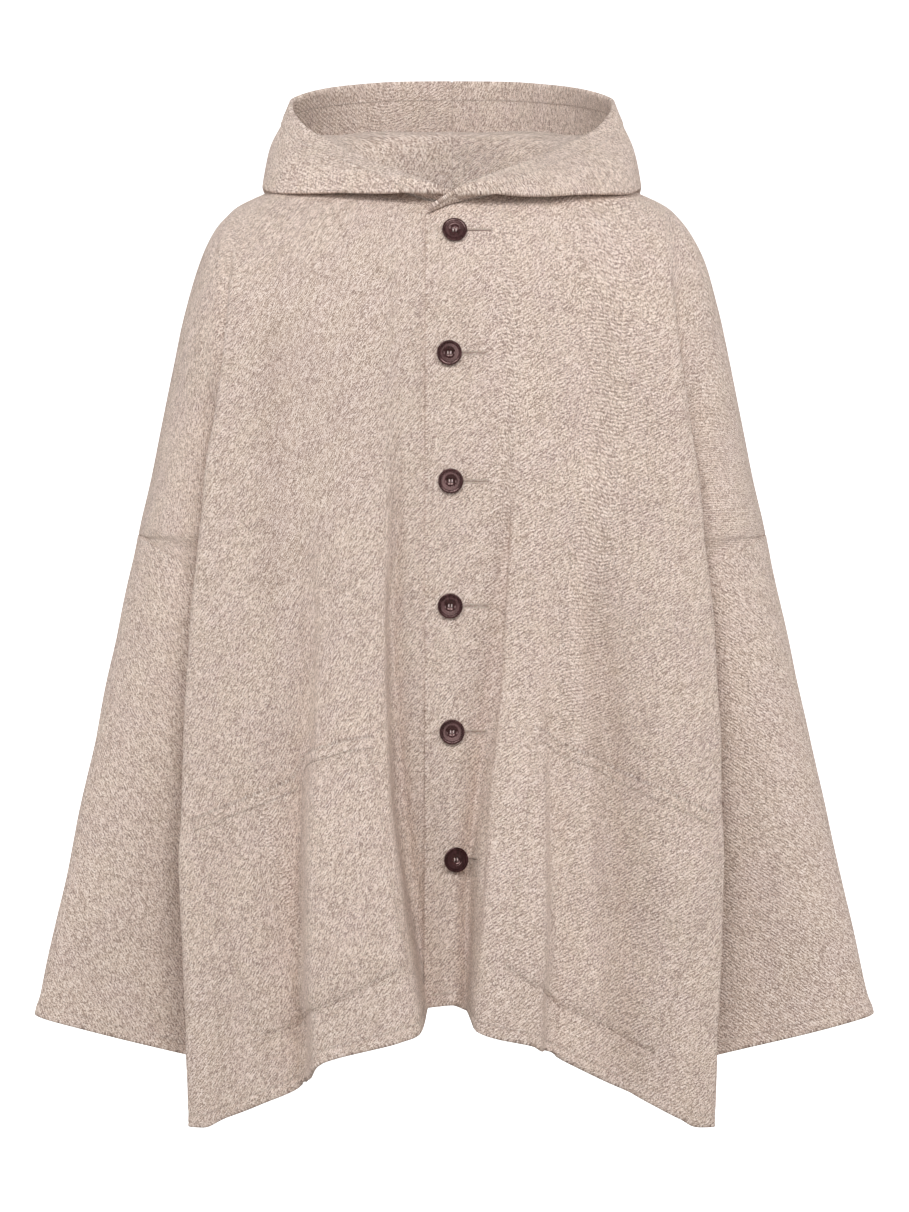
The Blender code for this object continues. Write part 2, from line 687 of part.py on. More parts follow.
def build_pocket(name, net, normals, outline, collection, cutters):
    """A patch cut by the pocket's outline from a sheet that follows the front."""
    low = WALL / 2 + SEAM_GAP
    sheet = wall_mesh(name, net, normals, low, low + WALL)
    pocket = placed(name, sheet, CLOTH_COLOUR, collection, 0.95)
    sheet.shade_flat()
    shape = bmesh.new()
    ring = [shape.verts.new((x * MM, -0.35, z * MM)) for x, z in outline]
    face = shape.faces.new(ring)
    moved = bmesh.ops.extrude_face_region(shape, geom=[face])["geom"]
    for vertex in (item for item in moved if isinstance(item, bmesh.types.BMVert)):
        vertex.co.y = POCKET_LIMIT_Y
    bmesh.ops.recalc_face_normals(shape, faces=shape.faces)
    mesh = bpy.data.meshes.new(name + "_outline")
    shape.to_mesh(mesh)
    shape.free()
    cutter = bpy.data.objects.new(name + "_outline", mesh)
    cutters.objects.link(cutter)
    cutter.hide_render = True
    cutter.display_type = "WIRE"
    cut = pocket.modifiers.new("outline", "BOOLEAN")
    cut.operation = "INTERSECT"
    cut.object = cutter


def surface_at(net, x, z):
    """Point and normal of the front at a place seen from the front, on its flat triangles."""
    for row in range(net.shape[0] - 1):
        for column in range(4):
            a, b = net[row, column], net[row, column + 1]
            c, d = net[row + 1, column + 1], net[row + 1, column]
            for corner, first, second in ((a, b, c), (a, c, d)):
                u, v = first - corner, second - corner
                spread = u[0] * v[2] - u[2] * v[0]
                off_x, off_z = x - corner[0], z - corner[2]
                along = (off_x * v[2] - off_z * v[0]) / spread
                across = (off_z * u[0] - off_x * u[2]) / spread
                if along >= 0 and across >= 0 and along + across <= 1:
                    normal = np.cross(u, v)
                    normal *= -np.sign(normal[1]) / np.linalg.norm(normal)
                    return corner + u * along + v * across, normal
    return None


def button_mesh(name):
    """A turned button with a raised rim, a dished middle and a thread shank behind it."""
    profile = (
        (0.0, 0.0031), (0.0046, 0.0033), (0.0068, 0.0042), (0.0094, 0.0048),
        (BUTTON_RADIUS, 0.0036), (0.0096, 0.0018), (0.0024, 0.0014), (0.0024, 0.0), (0.0, 0.0),
    )
    shape = bmesh.new()
    points = [shape.verts.new((radius, 0.0, height)) for radius, height in profile]
    for a, b in zip(points, points[1:]):
        shape.edges.new((a, b))
    bmesh.ops.spin(
        shape,
        geom=shape.verts[:] + shape.edges[:],
        cent=(0, 0, 0),
        axis=(0, 0, 1),
        angle=2 * math.pi,
        steps=18,
        use_duplicate=False,
    )
    bmesh.ops.remove_doubles(shape, verts=shape.verts, dist=1e-5)
    bmesh.ops.recalc_face_normals(shape, faces=shape.faces)
    mesh = bpy.data.meshes.new(name)
    shape.to_mesh(mesh)
    shape.free()
    return mesh


def build_buttons(net, collection):
    """Buttons with their backs on the lapped front, square to the cloth."""
    for number, (x, z) in enumerate(BUTTON_PLACES, 1):
        name = f"button_{number}"
        point, normal = surface_at(net, x, z)
        button = placed(name, button_mesh(name), BUTTON_COLOUR, collection, 0.35)
        button.location = Vector(point + normal * (WALL / 2 + SEAM_GAP))
        button.rotation_mode = "QUATERNION"
        button.rotation_quaternion = Vector(normal).to_track_quat("Z", "Y")


def main():
    for old in list(bpy.data.objects):
        bpy.data.objects.remove(old)
    coat = bpy.data.collections.new("hooded_coat")
    cutters = bpy.data.collections.new("cutters")
    for collection in (coat, cutters):
        bpy.context.scene.collection.children.link(collection)
    fronts = front_nets()
    for name, (net, normals) in fronts.items():
        node = f"front_{name}"
        placed(node, wall_mesh(node, net, normals), CLOTH_COLOUR, coat, 0.95)
    back, normals = back_net()
    placed("back", wall_mesh("back", back, normals), CLOTH_COLOUR, coat, 0.95)
    for name, mirror in (("sleeve_left", 1), ("sleeve_right", -1)):
        net, normals = sleeve_net(mirror)
        placed(name, wall_mesh(name, net, normals, closed=True), CLOTH_COLOUR, coat, 0.95)
    build_hood(fronts, back, coat)
    first = len(UPPER_ROWS) - 2
    for name, outline in (("left", LEFT_POCKET), ("right", RIGHT_POCKET)):
        net, normals = fronts[name]
        columns = slice(2, 12)
        part = net[first:, columns], normals[first:, columns]
        build_pocket(f"pocket_{name}", *part, outline, coat, cutters)
    build_buttons(fronts["left"][0], coat)


main()
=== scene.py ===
"""Hooded wool coat in its worn shape, dressed over the frame of its solids.

Each panel is one sheet of heavy felted twill. It starts from the same few lines and rows as its
solid, is made finer and softer, takes its creases, and becomes a two-sided wall with a rounded
edge. Sewing, buttonholes and buttons are laid on those same sheets.
Metres, +Z up. The front looks towards -Y and the wearer's left is at +X.
"""

from __future__ import annotations

import logging
import math
from dataclasses import dataclass, field
from enum import Enum
from typing import NamedTuple, Sequence

import bmesh
import bpy
import numpy as np
from bpy.types import ID, Material, Mesh, Node, NodeSocket, NodeTree, Object
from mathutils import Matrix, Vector, noise


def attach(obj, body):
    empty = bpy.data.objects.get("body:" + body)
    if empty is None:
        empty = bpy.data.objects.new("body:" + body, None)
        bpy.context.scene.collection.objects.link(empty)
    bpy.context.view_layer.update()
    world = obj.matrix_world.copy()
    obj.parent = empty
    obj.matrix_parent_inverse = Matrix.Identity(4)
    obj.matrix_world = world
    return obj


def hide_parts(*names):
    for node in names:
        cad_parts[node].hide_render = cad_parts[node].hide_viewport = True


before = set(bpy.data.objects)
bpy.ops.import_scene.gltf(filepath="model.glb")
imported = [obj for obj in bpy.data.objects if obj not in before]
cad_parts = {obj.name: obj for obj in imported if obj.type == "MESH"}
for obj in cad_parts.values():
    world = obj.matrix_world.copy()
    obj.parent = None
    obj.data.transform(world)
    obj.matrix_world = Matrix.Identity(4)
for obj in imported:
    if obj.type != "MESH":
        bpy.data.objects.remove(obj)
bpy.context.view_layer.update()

LOG = logging.getLogger("coat")
MM = 0.001


# Curves and tables


def curve_at(places: np.ndarray, values: np.ndarray, at: np.ndarray) -> np.ndarray:
    """Values on a cubic through a table's own points, with no overshoot.

    Args:
        places: Rising places of the table's rows.
        values: A row of values for each place.
        at: Places to read.

    Returns:
        A row of values for each place read.
    """
    steps = np.diff(places)
    slopes = np.diff(values, axis=0) / steps[:, None]
    before, after = slopes[:-1], slopes[1:]
    total = np.where(np.abs(before + after) < 1e-12, 1.0, before + after)
    inner = np.where(before * after > 0, 2 * before * after / total, 0.0)
    ends = np.vstack([slopes[:1], inner, slopes[-1:]])
    cell = np.clip(np.searchsorted(places, at, side="right") - 1, 0, len(steps) - 1)
    width = steps[cell]
    t = ((np.clip(at, places[0], places[-1]) - places[cell]) / width)[:, None]
    width = width[:, None]
    return (
        values[cell] * (1 + 2 * t) * (1 - t) ** 2
        + ends[cell] * width * t * (1 - t) ** 2
        + values[cell + 1] * t**2 * (3 - 2 * t)
        - ends[cell + 1] * width * t**2 * (1 - t)
    )


def between(table: Sequence[Sequence[float]], at: float) -> np.ndarray:
    """The values at one place of a table whose first column is the place.

    Args:
        table: Rows of a place and its values, rising or falling.
        at: The place to read.

    Returns:
        The values there.
    """
    places = np.array([row[0] for row in table], float)
    values = np.array([row[1:] for row in table], float)
    if places[0] > places[-1]:
        places, at = -places, -at
    return curve_at(places, values, np.array([at]))[0]


def smooth_step(low: float, high: float, at: np.ndarray | float) -> np.ndarray | float:
    """0 before low, 1 after high, and a soft change between them."""
    share = np.clip((at - low) / (high - low), 0.0, 1.0)
    return share * share * (3 - 2 * share)


def unit(vectors: np.ndarray) -> np.ndarray:
    """The vectors at length one."""
    return vectors / np.maximum(np.linalg.norm(vectors, axis=-1, keepdims=True), 1e-12)


def running(steps: np.ndarray) -> np.ndarray:
    """The running total of steps, from 0."""
    return np.concatenate([[0.0], np.cumsum(steps)])


def run_along(path: np.ndarray) -> np.ndarray:
    """Distance of each point of a path from its first one, along the path."""
    return running(np.linalg.norm(np.diff(path, axis=0), axis=1))


# The cut, as lines down each panel and rows across it


class Line(NamedTuple):
    """A line down a panel, in millimetres.

    across is its distance from the centre and rise how far it stands out from the plain form, at
    each of LEVELS. hem is the height of the hem on it.
    """

    name: str
    across: tuple[float, ...]
    rise: tuple[float, ...]
    hem: float


class Row(NamedTuple):
    """A row across a panel, down to the underarm.

    turn is the share of the quarter turn from the shoulder line, edge the place of its outer end,
    and tuck the place of the hollow between the body and the arm.
    """

    level: float
    turn: float
    edge_x: float
    edge_z: float
    tuck_x: float
    tuck_y: float
    tuck_z: float


LEVELS = (0.0, -0.20, -0.39, -0.55, -0.66, -0.80)
FRONT_RIGHT_LINES = (
    Line("centre", (0, 0, 0, 0, 0, 0), (0, 0, 0, 0, -2, -4), -728),
    Line("crease", (30, 42, 48, 47, 35, 21), (0, 0, -3, -8, -12, -13), -731),
    Line("wall", (58, 60, 59, 55, 44, 28), (0, 1, 5, 14, 25, 30), -750),
    Line("crest", (76, 84, 81, 75, 63, 46), (0, 2, 9, 22, 34, 41), -757),
    Line("step top", (85, 106, 108, 113, 115, 115), (0, 2, 8, 20, 31, 37), -777),
    Line("step base", (105, 128, 125, 130, 130, 128), (0, 1, -1, -4, -5, -4), -797),
    Line("face", (130, 152, 160, 166, 167, 165), (0, -2, 0, 3, 3, 1), -814),
    Line("outer", (154, 174, 190, 200, 201, 197), (0, 0, 2, 3, 3, 1), -827),
)
FRONT_LEFT_LINES = (
    Line("centre", (0, 0, 0, 0, 0, 0), (0, 0, 0, 0, -2, -4), -728),
    Line("crease", (30, 42, 36, 24, 14, 12), (0, 0, -4, -9, -12, -12), -733),
    Line("wall", (58, 56, 47, 33, 24, 22), (0, 2, 6, 16, 25, 30), -747),
    Line("crest", (76, 74, 62, 49, 42, 38), (0, 3, 10, 24, 36, 41), -753),
    Line("step top", (85, 94, 82, 75, 74, 73), (0, 2, 9, 22, 33, 37), -761),
    Line("step base", (105, 116, 100, 91, 90, 88), (0, 1, 0, 3, 6, 9), -771),
    Line("face", (130, 148, 132, 142, 150, 158), (0, -1, -4, -5, -5, -3), -807),
    Line("outer", (154, 174, 186, 196, 200, 199), (0, 1, 3, 5, 5, 3), -828),
)
BACK_LINES = (
    Line("centre", (0, 0, 0, 0, 0, 0), (0, 0, 2, 6, 9, 12), -736),
    Line("crease", (30, 30, 31, 32, 32, 32), (0, 0, -1, -2, -2, -2), -742),
    Line("wall", (58, 58, 60, 62, 62, 62), (0, 0, 3, 9, 14, 18), -752),
    Line("crest", (76, 82, 84, 86, 86, 86), (0, 1, 5, 14, 20, 25), -763),
    Line("step top", (85, 106, 108, 112, 113, 113), (0, 1, 3, 9, 13, 16), -776),
    Line("step base", (105, 130, 133, 138, 140, 140), (0, 0, -1, -2, -3, -4), -792),
    Line("face", (130, 152, 162, 168, 170, 170), (0, 0, 2, 4, 5, 6), -810),
    Line("outer", (154, 174, 190, 200, 203, 200), (0, 0, 2, 3, 3, 3), -824),
)
FOLD_LINE = (
    (0.0, 0.180), (-0.05, 0.185), (-0.10, 0.190), (-0.165, 0.198), (-0.225, 0.205),
    (-0.28, 0.213), (-0.335, 0.2195), (-0.39, 0.2245), (-0.50, 0.231), (-0.60, 0.2345),
    (-0.66, 0.232), (-0.72, 0.229), (-0.80, 0.226),
)
SHOULDER_LINE = (
    (0.085, 0.0), (0.12, -0.0095), (0.15, -0.0195),
    (0.171, -0.029), (0.185, -0.038), (0.195, -0.046),
)
UPPER_ROWS = (
    Row(0.0, 0.0, 0.195, -0.046, 0.188, 0.0, -0.0405),
    Row(-0.045, 0.24, 0.2095, -0.066, 0.203, 0.030, -0.066),
    Row(-0.085, 0.48, 0.2215, -0.090, 0.207, 0.046, -0.090),
    Row(-0.125, 0.73, 0.234, -0.132, 0.209, 0.056, -0.132),
    Row(-0.165, 1.0, 0.2445, -0.180, 0.206, 0.060, -0.180),
    Row(-0.225, 1.0, 0.2545, -0.228, 0.198, 0.058, -0.228),
    Row(-0.275, 1.0, 0.264, -0.276, 0.189, 0.051, -0.276),
    Row(-0.326, 1.0, 0.275, -0.326, 0.181, 0.042, -0.326),
)
ARMHOLE_TUCK = (
    (-0.326, 0.181, 0.042, -0.326),
    (-0.339, 0.177, 0.036, -0.337),
    (-0.351, 0.174, 0.031, -0.347),
    (-0.363, 0.171, 0.026, -0.355),
    (-0.374, 0.169, 0.0215, -0.3615),
    (-0.385, 0.167, 0.017, -0.3665),
    (-0.396, 0.1655, 0.0135, -0.370),
)
UNDERARM_ROWS = (
    Row(-0.408, 1.0, 0.1655, -0.3745, 0.1635, 0.011, -0.3750),
    Row(-0.422, 1.0, 0.156, -0.388, 0.159, 0.0155, -0.3885),
)
SIDE_SEAM_LINE = ((-0.388, 0.156), (-0.45, 0.150), (-0.58, 0.151), (-0.70, 0.157), (-0.81, 0.164))
LOWER_SHARES = (0.14, 0.30, 0.46, 0.62, 0.77, 0.90, 1.0)
SMOOTH_SHARES = (0.0, 0.09, 0.18, 0.27, 0.37, 0.48, 0.61, 0.74, 0.87, 1.0)
WALL_SHARES = (0.26, 0.48, 0.65, 0.78, 0.88, 0.95, 1.0)
LAP_SHARES = ((0.0, 1.0), (0.03, 1.0), (0.058, 0.7), (0.076, 0.3), (0.085, 0.0), (0.3, 0.0))


@dataclass(frozen=True)
class Cloth:
    """Sizes of the wool cloth and of how it is sewn, in metres."""

    wall: float = 0.0025
    turned: float = 0.0014
    grid: float = 0.0035
    back_grid: float = 0.0044
    hem_stitch: float = 0.009
    lap_step: float = 0.0033
    dent: float = 0.0004
    dent_reach: float = 0.0022
    swell: float = 0.0003
    hem_bend: float = 0.004
    seam_reach: float = 0.03
    stitch_sink: float = 0.0003


@dataclass(frozen=True)
class Fold:
    """The fold from the shoulder to the hem corner, in metres."""

    radius: float = 0.012
    tuck: float = 0.008
    depth: float = 0.024
    bow: float = 0.009
    hem_z: float = -0.8345


@dataclass(frozen=True)
class Armhole:
    """The flat oval where a sleeve is sewn on, on the wearer's left, in metres."""

    x: float = 0.225
    z: float = -0.3555
    reach_x: float = 0.05
    reach_z: float = 0.0295
    depth: float = 0.058
    rows: int = 8

    def axis(self, mirror: int) -> np.ndarray:
        """The way a sleeve leaves, square to the oval's plane."""
        return unit(np.array([mirror * self.reach_z, 0.0, -self.reach_x]))

    def oval(self, centre_x: float, angle: float) -> np.ndarray:
        """A point seen from above on an oval of this size, from its outer side at 0."""
        return np.array([centre_x + self.reach_x * math.cos(angle), self.depth * math.sin(angle)])


CLOTH = Cloth()
FOLD = Fold()
ARMHOLE = Armhole()
NECK_HALF_WIDTH = 0.085
OVER_REACH = 0.0215
UNDER_REACH = 0.0145
LAP_CORNER_DROP = 0.014
SIDE_SEAM_HEM_Z = -0.81
FLARE = 0.02


def lap_share(x: float) -> float:
    """How far the left front and the left hood are lifted over the right ones, 1 down to 0."""
    return float(between(LAP_SHARES, max(0.0, x))[0])


@dataclass(frozen=True)
class BodySide:
    """The front or the back of the body as quarter turns down from the shoulder line."""

    facing: int
    depth: float
    drop: float
    top: float
    neck_depth: float

    def reach(self, x: float) -> float:
        """How far the plain form stands from the shoulder line at its fullest."""
        return self.depth * (1 - 0.15 * (x / 0.2) ** 2)

    def fall(self, x: float) -> float:
        """How far below the shoulder line the plain form is fullest."""
        return self.drop * (1 - 0.19 * (x / 0.18) ** 2)

    def crown(self, x: float) -> float:
        """Height of the shoulder line, carried on over the neck opening."""
        if x >= NECK_HALF_WIDTH:
            return float(between(SHOULDER_LINE, x)[0])
        return self.top * (1 - (x / NECK_HALF_WIDTH) ** 2)

    def first_turn(self, x: float) -> float:
        """The angle at which the cloth starts: 0 at the shoulder seam, more at the neck.

        Args:
            x: Distance from the centre line.

        Returns:
            The angle in radians.
        """
        if x >= NECK_HALF_WIDTH:
            return 0.0
        reach = self.neck_depth * math.sqrt(1 - (x / NECK_HALF_WIDTH) ** 2)
        return math.asin(reach / self.reach(x))

    def form(self, x: float, row: Row) -> tuple[float, float | None]:
        """Depth and height of the plain form on a row.

        Args:
            x: Distance from the centre line.
            row: The row across the panel.

        Returns:
            The depth, and the height, which is None below the quarter turn.
        """
        if row.turn < 1.0:
            angle = self.first_turn(abs(x))
            angle += (math.pi / 2 - angle) * row.turn
            height = self.crown(abs(x)) - self.fall(abs(x)) * (1 - math.cos(angle))
            return self.reach(x) * math.sin(angle), height
        return self.reach(x) + FLARE * max(0.0, -row.level - 0.165), None


FRONT = BodySide(-1, 0.104, 0.16, 0.012, 0.078)
BACK = BodySide(1, 0.115, 0.17, 0.0, 0.055)


def panel_rows() -> list[tuple[Row, float | None, float | None]]:
    """Every row of a body panel, as (row, armhole angle or None, share below the underarm).

    Returns:
        The rows, from the shoulder line down to the hem.
    """
    rows: list[tuple[Row, float | None, float | None]] = [(row, None, None) for row in UPPER_ROWS]
    top, foot = ARMHOLE_TUCK[0][0], ARMHOLE_TUCK[-1][0]
    for step in range(1, ARMHOLE.rows + 1):
        level = top + (foot - top) * step / ARMHOLE.rows
        x, y, z = between(ARMHOLE_TUCK, level)
        angle = math.pi * step / ARMHOLE.rows
        edge_x = ARMHOLE.x + ARMHOLE.reach_x * math.cos(angle)
        edge_z = ARMHOLE.z + ARMHOLE.reach_z * math.cos(angle)
        rows.append((Row(level, 1.0, edge_x, edge_z, x, y, z), angle, None))
    rows += [(row, None, None) for row in UNDERARM_ROWS]
    last = UNDERARM_ROWS[-1]
    for share in LOWER_SHARES:
        edge_z = last.edge_z + (SIDE_SEAM_HEM_Z - last.edge_z) * share
        edge_x = float(between(SIDE_SEAM_LINE, edge_z)[0])
        level = last.level + (LEVELS[-1] - last.level) * share
        rows.append((Row(level, 1.0, edge_x, edge_z, 0.0, 0.0, 0.0), None, share))
    return rows


@dataclass(frozen=True)
class HalfPanel:
    """Half of the front or of the back, from the centre line to the side seam and armhole."""

    side: BodySide
    lines: tuple[Line, ...]
    mirror: int

    def height(self, row: Row, hem: float, share: float | None) -> float:
        """Height of a row below the quarter turn, down to a hem.

        Args:
            row: The row across the panel.
            hem: Height of the hem there.
            share: The row's share of the way from the underarm to the hem, or None above it.

        Returns:
            The height.
        """
        if share is None:
            return row.level
        start = UNDERARM_ROWS[-1].level
        return start + (hem - start) * share

    def face(self, row: Row, share: float | None) -> list[np.ndarray]:
        """The points of a row on the lines of the face.

        Args:
            row: The row across the panel.
            share: The row's share of the way from the underarm to the hem, or None above it.

        Returns:
            A point for each line.
        """
        points = []
        for line in self.lines:
            x = float(between(tuple(zip(LEVELS, line.across)), row.level)[0]) * MM
            rise = float(between(tuple(zip(LEVELS, line.rise)), row.level)[0]) * MM
            depth, height = self.side.form(x, row)
            if height is None:
                height = self.height(row, line.hem * MM, share)
            points.append(np.array([x, depth + rise, height]))
        return points

    def flank(self, row: Row, angle: float | None, share: float | None) -> list[np.ndarray]:
        """The points of a row from the shoulder fold round to the side seam or the armhole.

        Args:
            row: The row across the panel.
            angle: The row's place round the armhole, or None away from it.
            share: The row's share of the way from the underarm to the hem, or None above it.

        Returns:
            The points, as many on every row.
        """
        full = float(between(FOLD_LINE, row.level)[0])
        depth, height = self.side.form(full - FOLD.radius, row)
        if height is None:
            height = self.height(row, FOLD.hem_z, share)
        start = np.array([full - FOLD.radius, depth, height])
        edge_y = ARMHOLE.depth * math.sin(angle) if angle else 0.0
        edge = np.array([row.edge_x, edge_y, row.edge_z])
        plain = [
            np.array(
                [
                    start[0] + (edge[0] - start[0]) * math.sin(math.pi / 2 * part),
                    start[1] * math.cos(math.pi / 2 * part),
                    start[2] + (edge[2] - start[2]) * part,
                ]
            )
            for part in SMOOTH_SHARES
        ]
        behind = np.array([full - FOLD.tuck, depth - FOLD.depth, height])
        folded = [start, np.array([full, depth - 0.4 * FOLD.depth, height]), behind]
        if share is None:
            folded += self.tucked(row, angle, behind, edge)
        else:
            bend = np.array([edge[0] + 0.016, behind[1] * 0.72, 0.0])
            for part in WALL_SHARES:
                point = (1 - part) ** 2 * behind + 2 * part * (1 - part) * bend + part**2 * edge
                point[2] = behind[2] + (edge[2] - behind[2]) * part
                folded.append(point)
        opened = smooth_step(0.04, 0.26, -row.level)
        return [a + (b - a) * opened for a, b in zip(plain, folded)]

    def tucked(
        self, row: Row, angle: float | None, behind: np.ndarray, edge: np.ndarray
    ) -> list[np.ndarray]:
        """The points of a row from behind the fold, into the tuck and out round the arm.

        Args:
            row: The row across the panel.
            angle: The row's place round the armhole, or None away from it.
            behind: The point behind the fold.
            edge: The row's outer end.

        Returns:
            The points, with the outer end last.
        """
        tuck = np.array([row.tuck_x, row.tuck_y, row.tuck_z])
        bow = FOLD.bow * smooth_step(0.24, 0.37, -row.level)
        points = []
        for part in (0.35, 0.7):
            point = behind + (tuck - behind) * part
            points.append(point + np.array([-0.8, 0.6, 0.0]) * bow * 4 * part * (1 - part))
        points.append(tuck)
        first = angle or 0.0
        centre_x = ARMHOLE.x if angle else row.edge_x - ARMHOLE.reach_x
        last = math.acos(max(-0.866, min(1.0, (tuck[0] - centre_x) / ARMHOLE.reach_x)))
        miss = tuck[:2] - ARMHOLE.oval(centre_x, last)
        for part in (0.75, 0.5, 0.25):
            flat = ARMHOLE.oval(centre_x, first + (last - first) * part) + miss * part**2
            points.append(np.array([*flat, edge[2] + (tuck[2] - edge[2]) * part]))
        return [*points, edge]

    def net(self) -> np.ndarray:
        """The net of the half panel, rows by columns by place.

        Returns:
            The points, mirrored and turned to their own side of the body.
        """
        rows = []
        for row, angle, share in panel_rows():
            points = self.face(row, share) + self.flank(row, angle, share)
            rows.append([(self.mirror * x, self.side.facing * y, z) for x, y, z in points])
        return np.array(rows)


# Sheets of cloth

# Share of the way that a round of softening takes each point to the middle of its neighbours
SOFTENING = 0.6
def grid_normals(points: np.ndarray, turn: int, closed: bool = False) -> np.ndarray:
    """Unit normals of a grid of points.

    Args:
        points: Rows by columns by place.
        turn: 1 or -1, for the side that is the face of the cloth.
        closed: Whether the last column is followed by the first.

    Returns:
        A normal for each point.
    """
    if closed:
        along = np.roll(points, -1, axis=1) - np.roll(points, 1, axis=1)
    else:
        along = np.gradient(points, axis=1)
    return unit(np.cross(along, np.gradient(points, axis=0))) * turn


def fine_places(places: np.ndarray, step: float) -> np.ndarray:
    """Evenly spaced places with a few close ones at both ends, for the seams.

    Args:
        places: The places of the coarse rows or columns.
        step: The spacing.

    Returns:
        Rising places from the first to the last.
    """
    low, high = places[0], places[-1]
    even = np.linspace(low + step, high - step, max(2, round((high - low) / step) - 1))
    near = np.array([0.0, 0.25 * step, 0.6 * step])
    return np.concatenate([low + near, even, high - near[::-1]])


@dataclass
class Sheet:
    """A grid of points on the middle of the cloth.

    flat holds the place of each point on the flat cut, in metres: across, then up from the hem.
    """

    points: np.ndarray
    turn: int
    closed: bool = False
    flat: np.ndarray = field(default_factory=lambda: np.zeros((0, 0, 2)))

    @property
    def normals(self) -> np.ndarray:
        """Unit normals on the face side of the cloth."""
        return grid_normals(self.points, self.turn, self.closed)

    def places(self, axis: int) -> np.ndarray:
        """Mean distance of each row or column from the first one."""
        chords = np.linalg.norm(np.diff(self.points, axis=axis), axis=2)
        return running(chords.mean(axis=1 - axis))

    def refined(self, step: float, rounds: int) -> Sheet:
        """The sheet at a finer spacing, with its bends made softer.

        Args:
            step: Spacing of the new points.
            rounds: Rounds of softening of the inner points.

        Returns:
            The finer sheet, with its flat places measured.
        """
        points = self.points
        for axis in (0, 1):
            places = self.places(axis)
            at = fine_places(places, step)
            moved = np.moveaxis(points, axis, 0)
            table = moved.reshape(len(places), -1)
            fine = curve_at(places, table, at).reshape(len(at), *moved.shape[1:])
            points = np.moveaxis(fine, 0, axis)
        for _ in range(rounds):
            near = points[:-2, 1:-1] + points[2:, 1:-1] + points[1:-1, :-2] + points[1:-1, 2:]
            points[1:-1, 1:-1] += (near / 4 - points[1:-1, 1:-1]) * SOFTENING
        return Sheet(points, self.turn, self.closed).measured()

    def measured(self, start: int = 0) -> Sheet:
        """Works out flat from the distances along the grid's rows and columns.

        Args:
            start: The column that the distances across start from.

        Returns:
            The sheet itself.
        """
        points = self.points
        across = np.linalg.norm(np.diff(points, axis=1), axis=2)
        across = np.concatenate([np.zeros((len(points), 1)), np.cumsum(across, axis=1)], axis=1)
        up = np.linalg.norm(np.diff(points[::-1], axis=0), axis=2)
        up = np.concatenate([np.zeros((1, points.shape[1])), np.cumsum(up, axis=0)])[::-1]
        self.flat = np.stack([across - across[:, start : start + 1], up], axis=2)
        return self

    def moved(self, distance: np.ndarray) -> None:
        """Moves every point out along its normal."""
        self.points = self.points + self.normals * distance[..., None]

    def at(self, row: np.ndarray, column: np.ndarray) -> tuple[np.ndarray, np.ndarray]:
        """Points and normals between the grid's own points.

        Args:
            row: Places along the rows, counted in rows.
            column: Places along the columns, counted in columns.

        Returns:
            The points and their normals.
        """
        return mixed(self.points, row, column), unit(mixed(self.normals, row, column))

    def located(self, x: float, z: float, columns: slice) -> tuple[float, float]:
        """Row and column of a place seen from the front.

        Args:
            x: Its place to the wearer's left.
            z: Its height.
            columns: The columns to look among.

        Returns:
            The row and the column, with fractions.
        """
        part = self.points[:, columns]
        away = (part[..., 0] - x) ** 2 + (part[..., 2] - z) ** 2
        nearest = np.unravel_index(np.argmin(away), away.shape)
        spot = np.array([nearest[0], nearest[1] + (columns.start or 0)], float)
        for _ in range(6):
            near = spot + np.array([[0.0, 0.0], [0.1, 0.0], [0.0, 0.1]])
            here = mixed(self.points, near[:, 0], near[:, 1])[:, (0, 2)]
            slope = ((here[1:] - here[0]) / 0.1).T
            change = np.linalg.lstsq(slope, np.array([x, z]) - here[0], rcond=None)[0]
            spot = spot + np.clip(change, -2, 2)
        return float(spot[0]), float(spot[1])


def mixed(values: np.ndarray, row: np.ndarray, column: np.ndarray) -> np.ndarray:
    """Reads a grid between its own rows and columns.

    Args:
        values: Rows by columns by value.
        row: Places along the rows, counted in rows.
        column: Places along the columns, counted in columns.

    Returns:
        A value for each place.
    """
    rows, columns = values.shape[:2]
    r = np.clip(row, 0, rows - 1.001)
    c = np.clip(column, 0, columns - 1.001)
    i, j = r.astype(int), c.astype(int)
    s, t = (r - i)[..., None], (c - j)[..., None]
    top = values[i, j] * (1 - t) + values[i, j + 1] * t
    low = values[i + 1, j] * (1 - t) + values[i + 1, j + 1] * t
    return top * (1 - s) + low * s


class Crease(NamedTuple):
    """A soft ridge or trough in the cloth.

    path is in millimetres, across then up, seen from the front. rise is how far it stands out,
    below 0 for a trough, and width how far it spreads to each side. power is 2 for a round one
    and less for a sharp one.
    """

    name: str
    path: tuple[tuple[float, float], ...]
    rise: float
    width: float
    power: float = 2.0


def crease_rise(spots: np.ndarray, creases: Sequence[Crease]) -> np.ndarray:
    """How far a list of creases lifts each spot.

    Args:
        spots: Places in millimetres, in any grid shape, across then up.
        creases: The ridges and troughs.

    Returns:
        The lift of each spot in metres.
    """
    total = np.zeros(spots.shape[:-1])
    for crease in creases:
        path = np.array(crease.path, float)
        lengths = np.linalg.norm(np.diff(path, axis=0), axis=1)
        run = running(lengths)
        best = np.full(total.shape, 1e9)
        along = np.zeros(total.shape)
        for start, end, begin, length in zip(path, path[1:], run, lengths):
            way = (end - start) / length
            t = np.clip((spots - start) @ way, 0.0, length)
            away = np.linalg.norm(spots - start - t[..., None] * way, axis=-1)
            nearer = away < best
            best = np.where(nearer, away, best)
            along = np.where(nearer, begin + t, along)
        ends = 0.25 * run[-1]
        taper = smooth_step(0, ends, along) * smooth_step(0, ends, run[-1] - along)
        total += crease.rise * np.exp(-((best / crease.width) ** crease.power)) * taper
    return total * MM


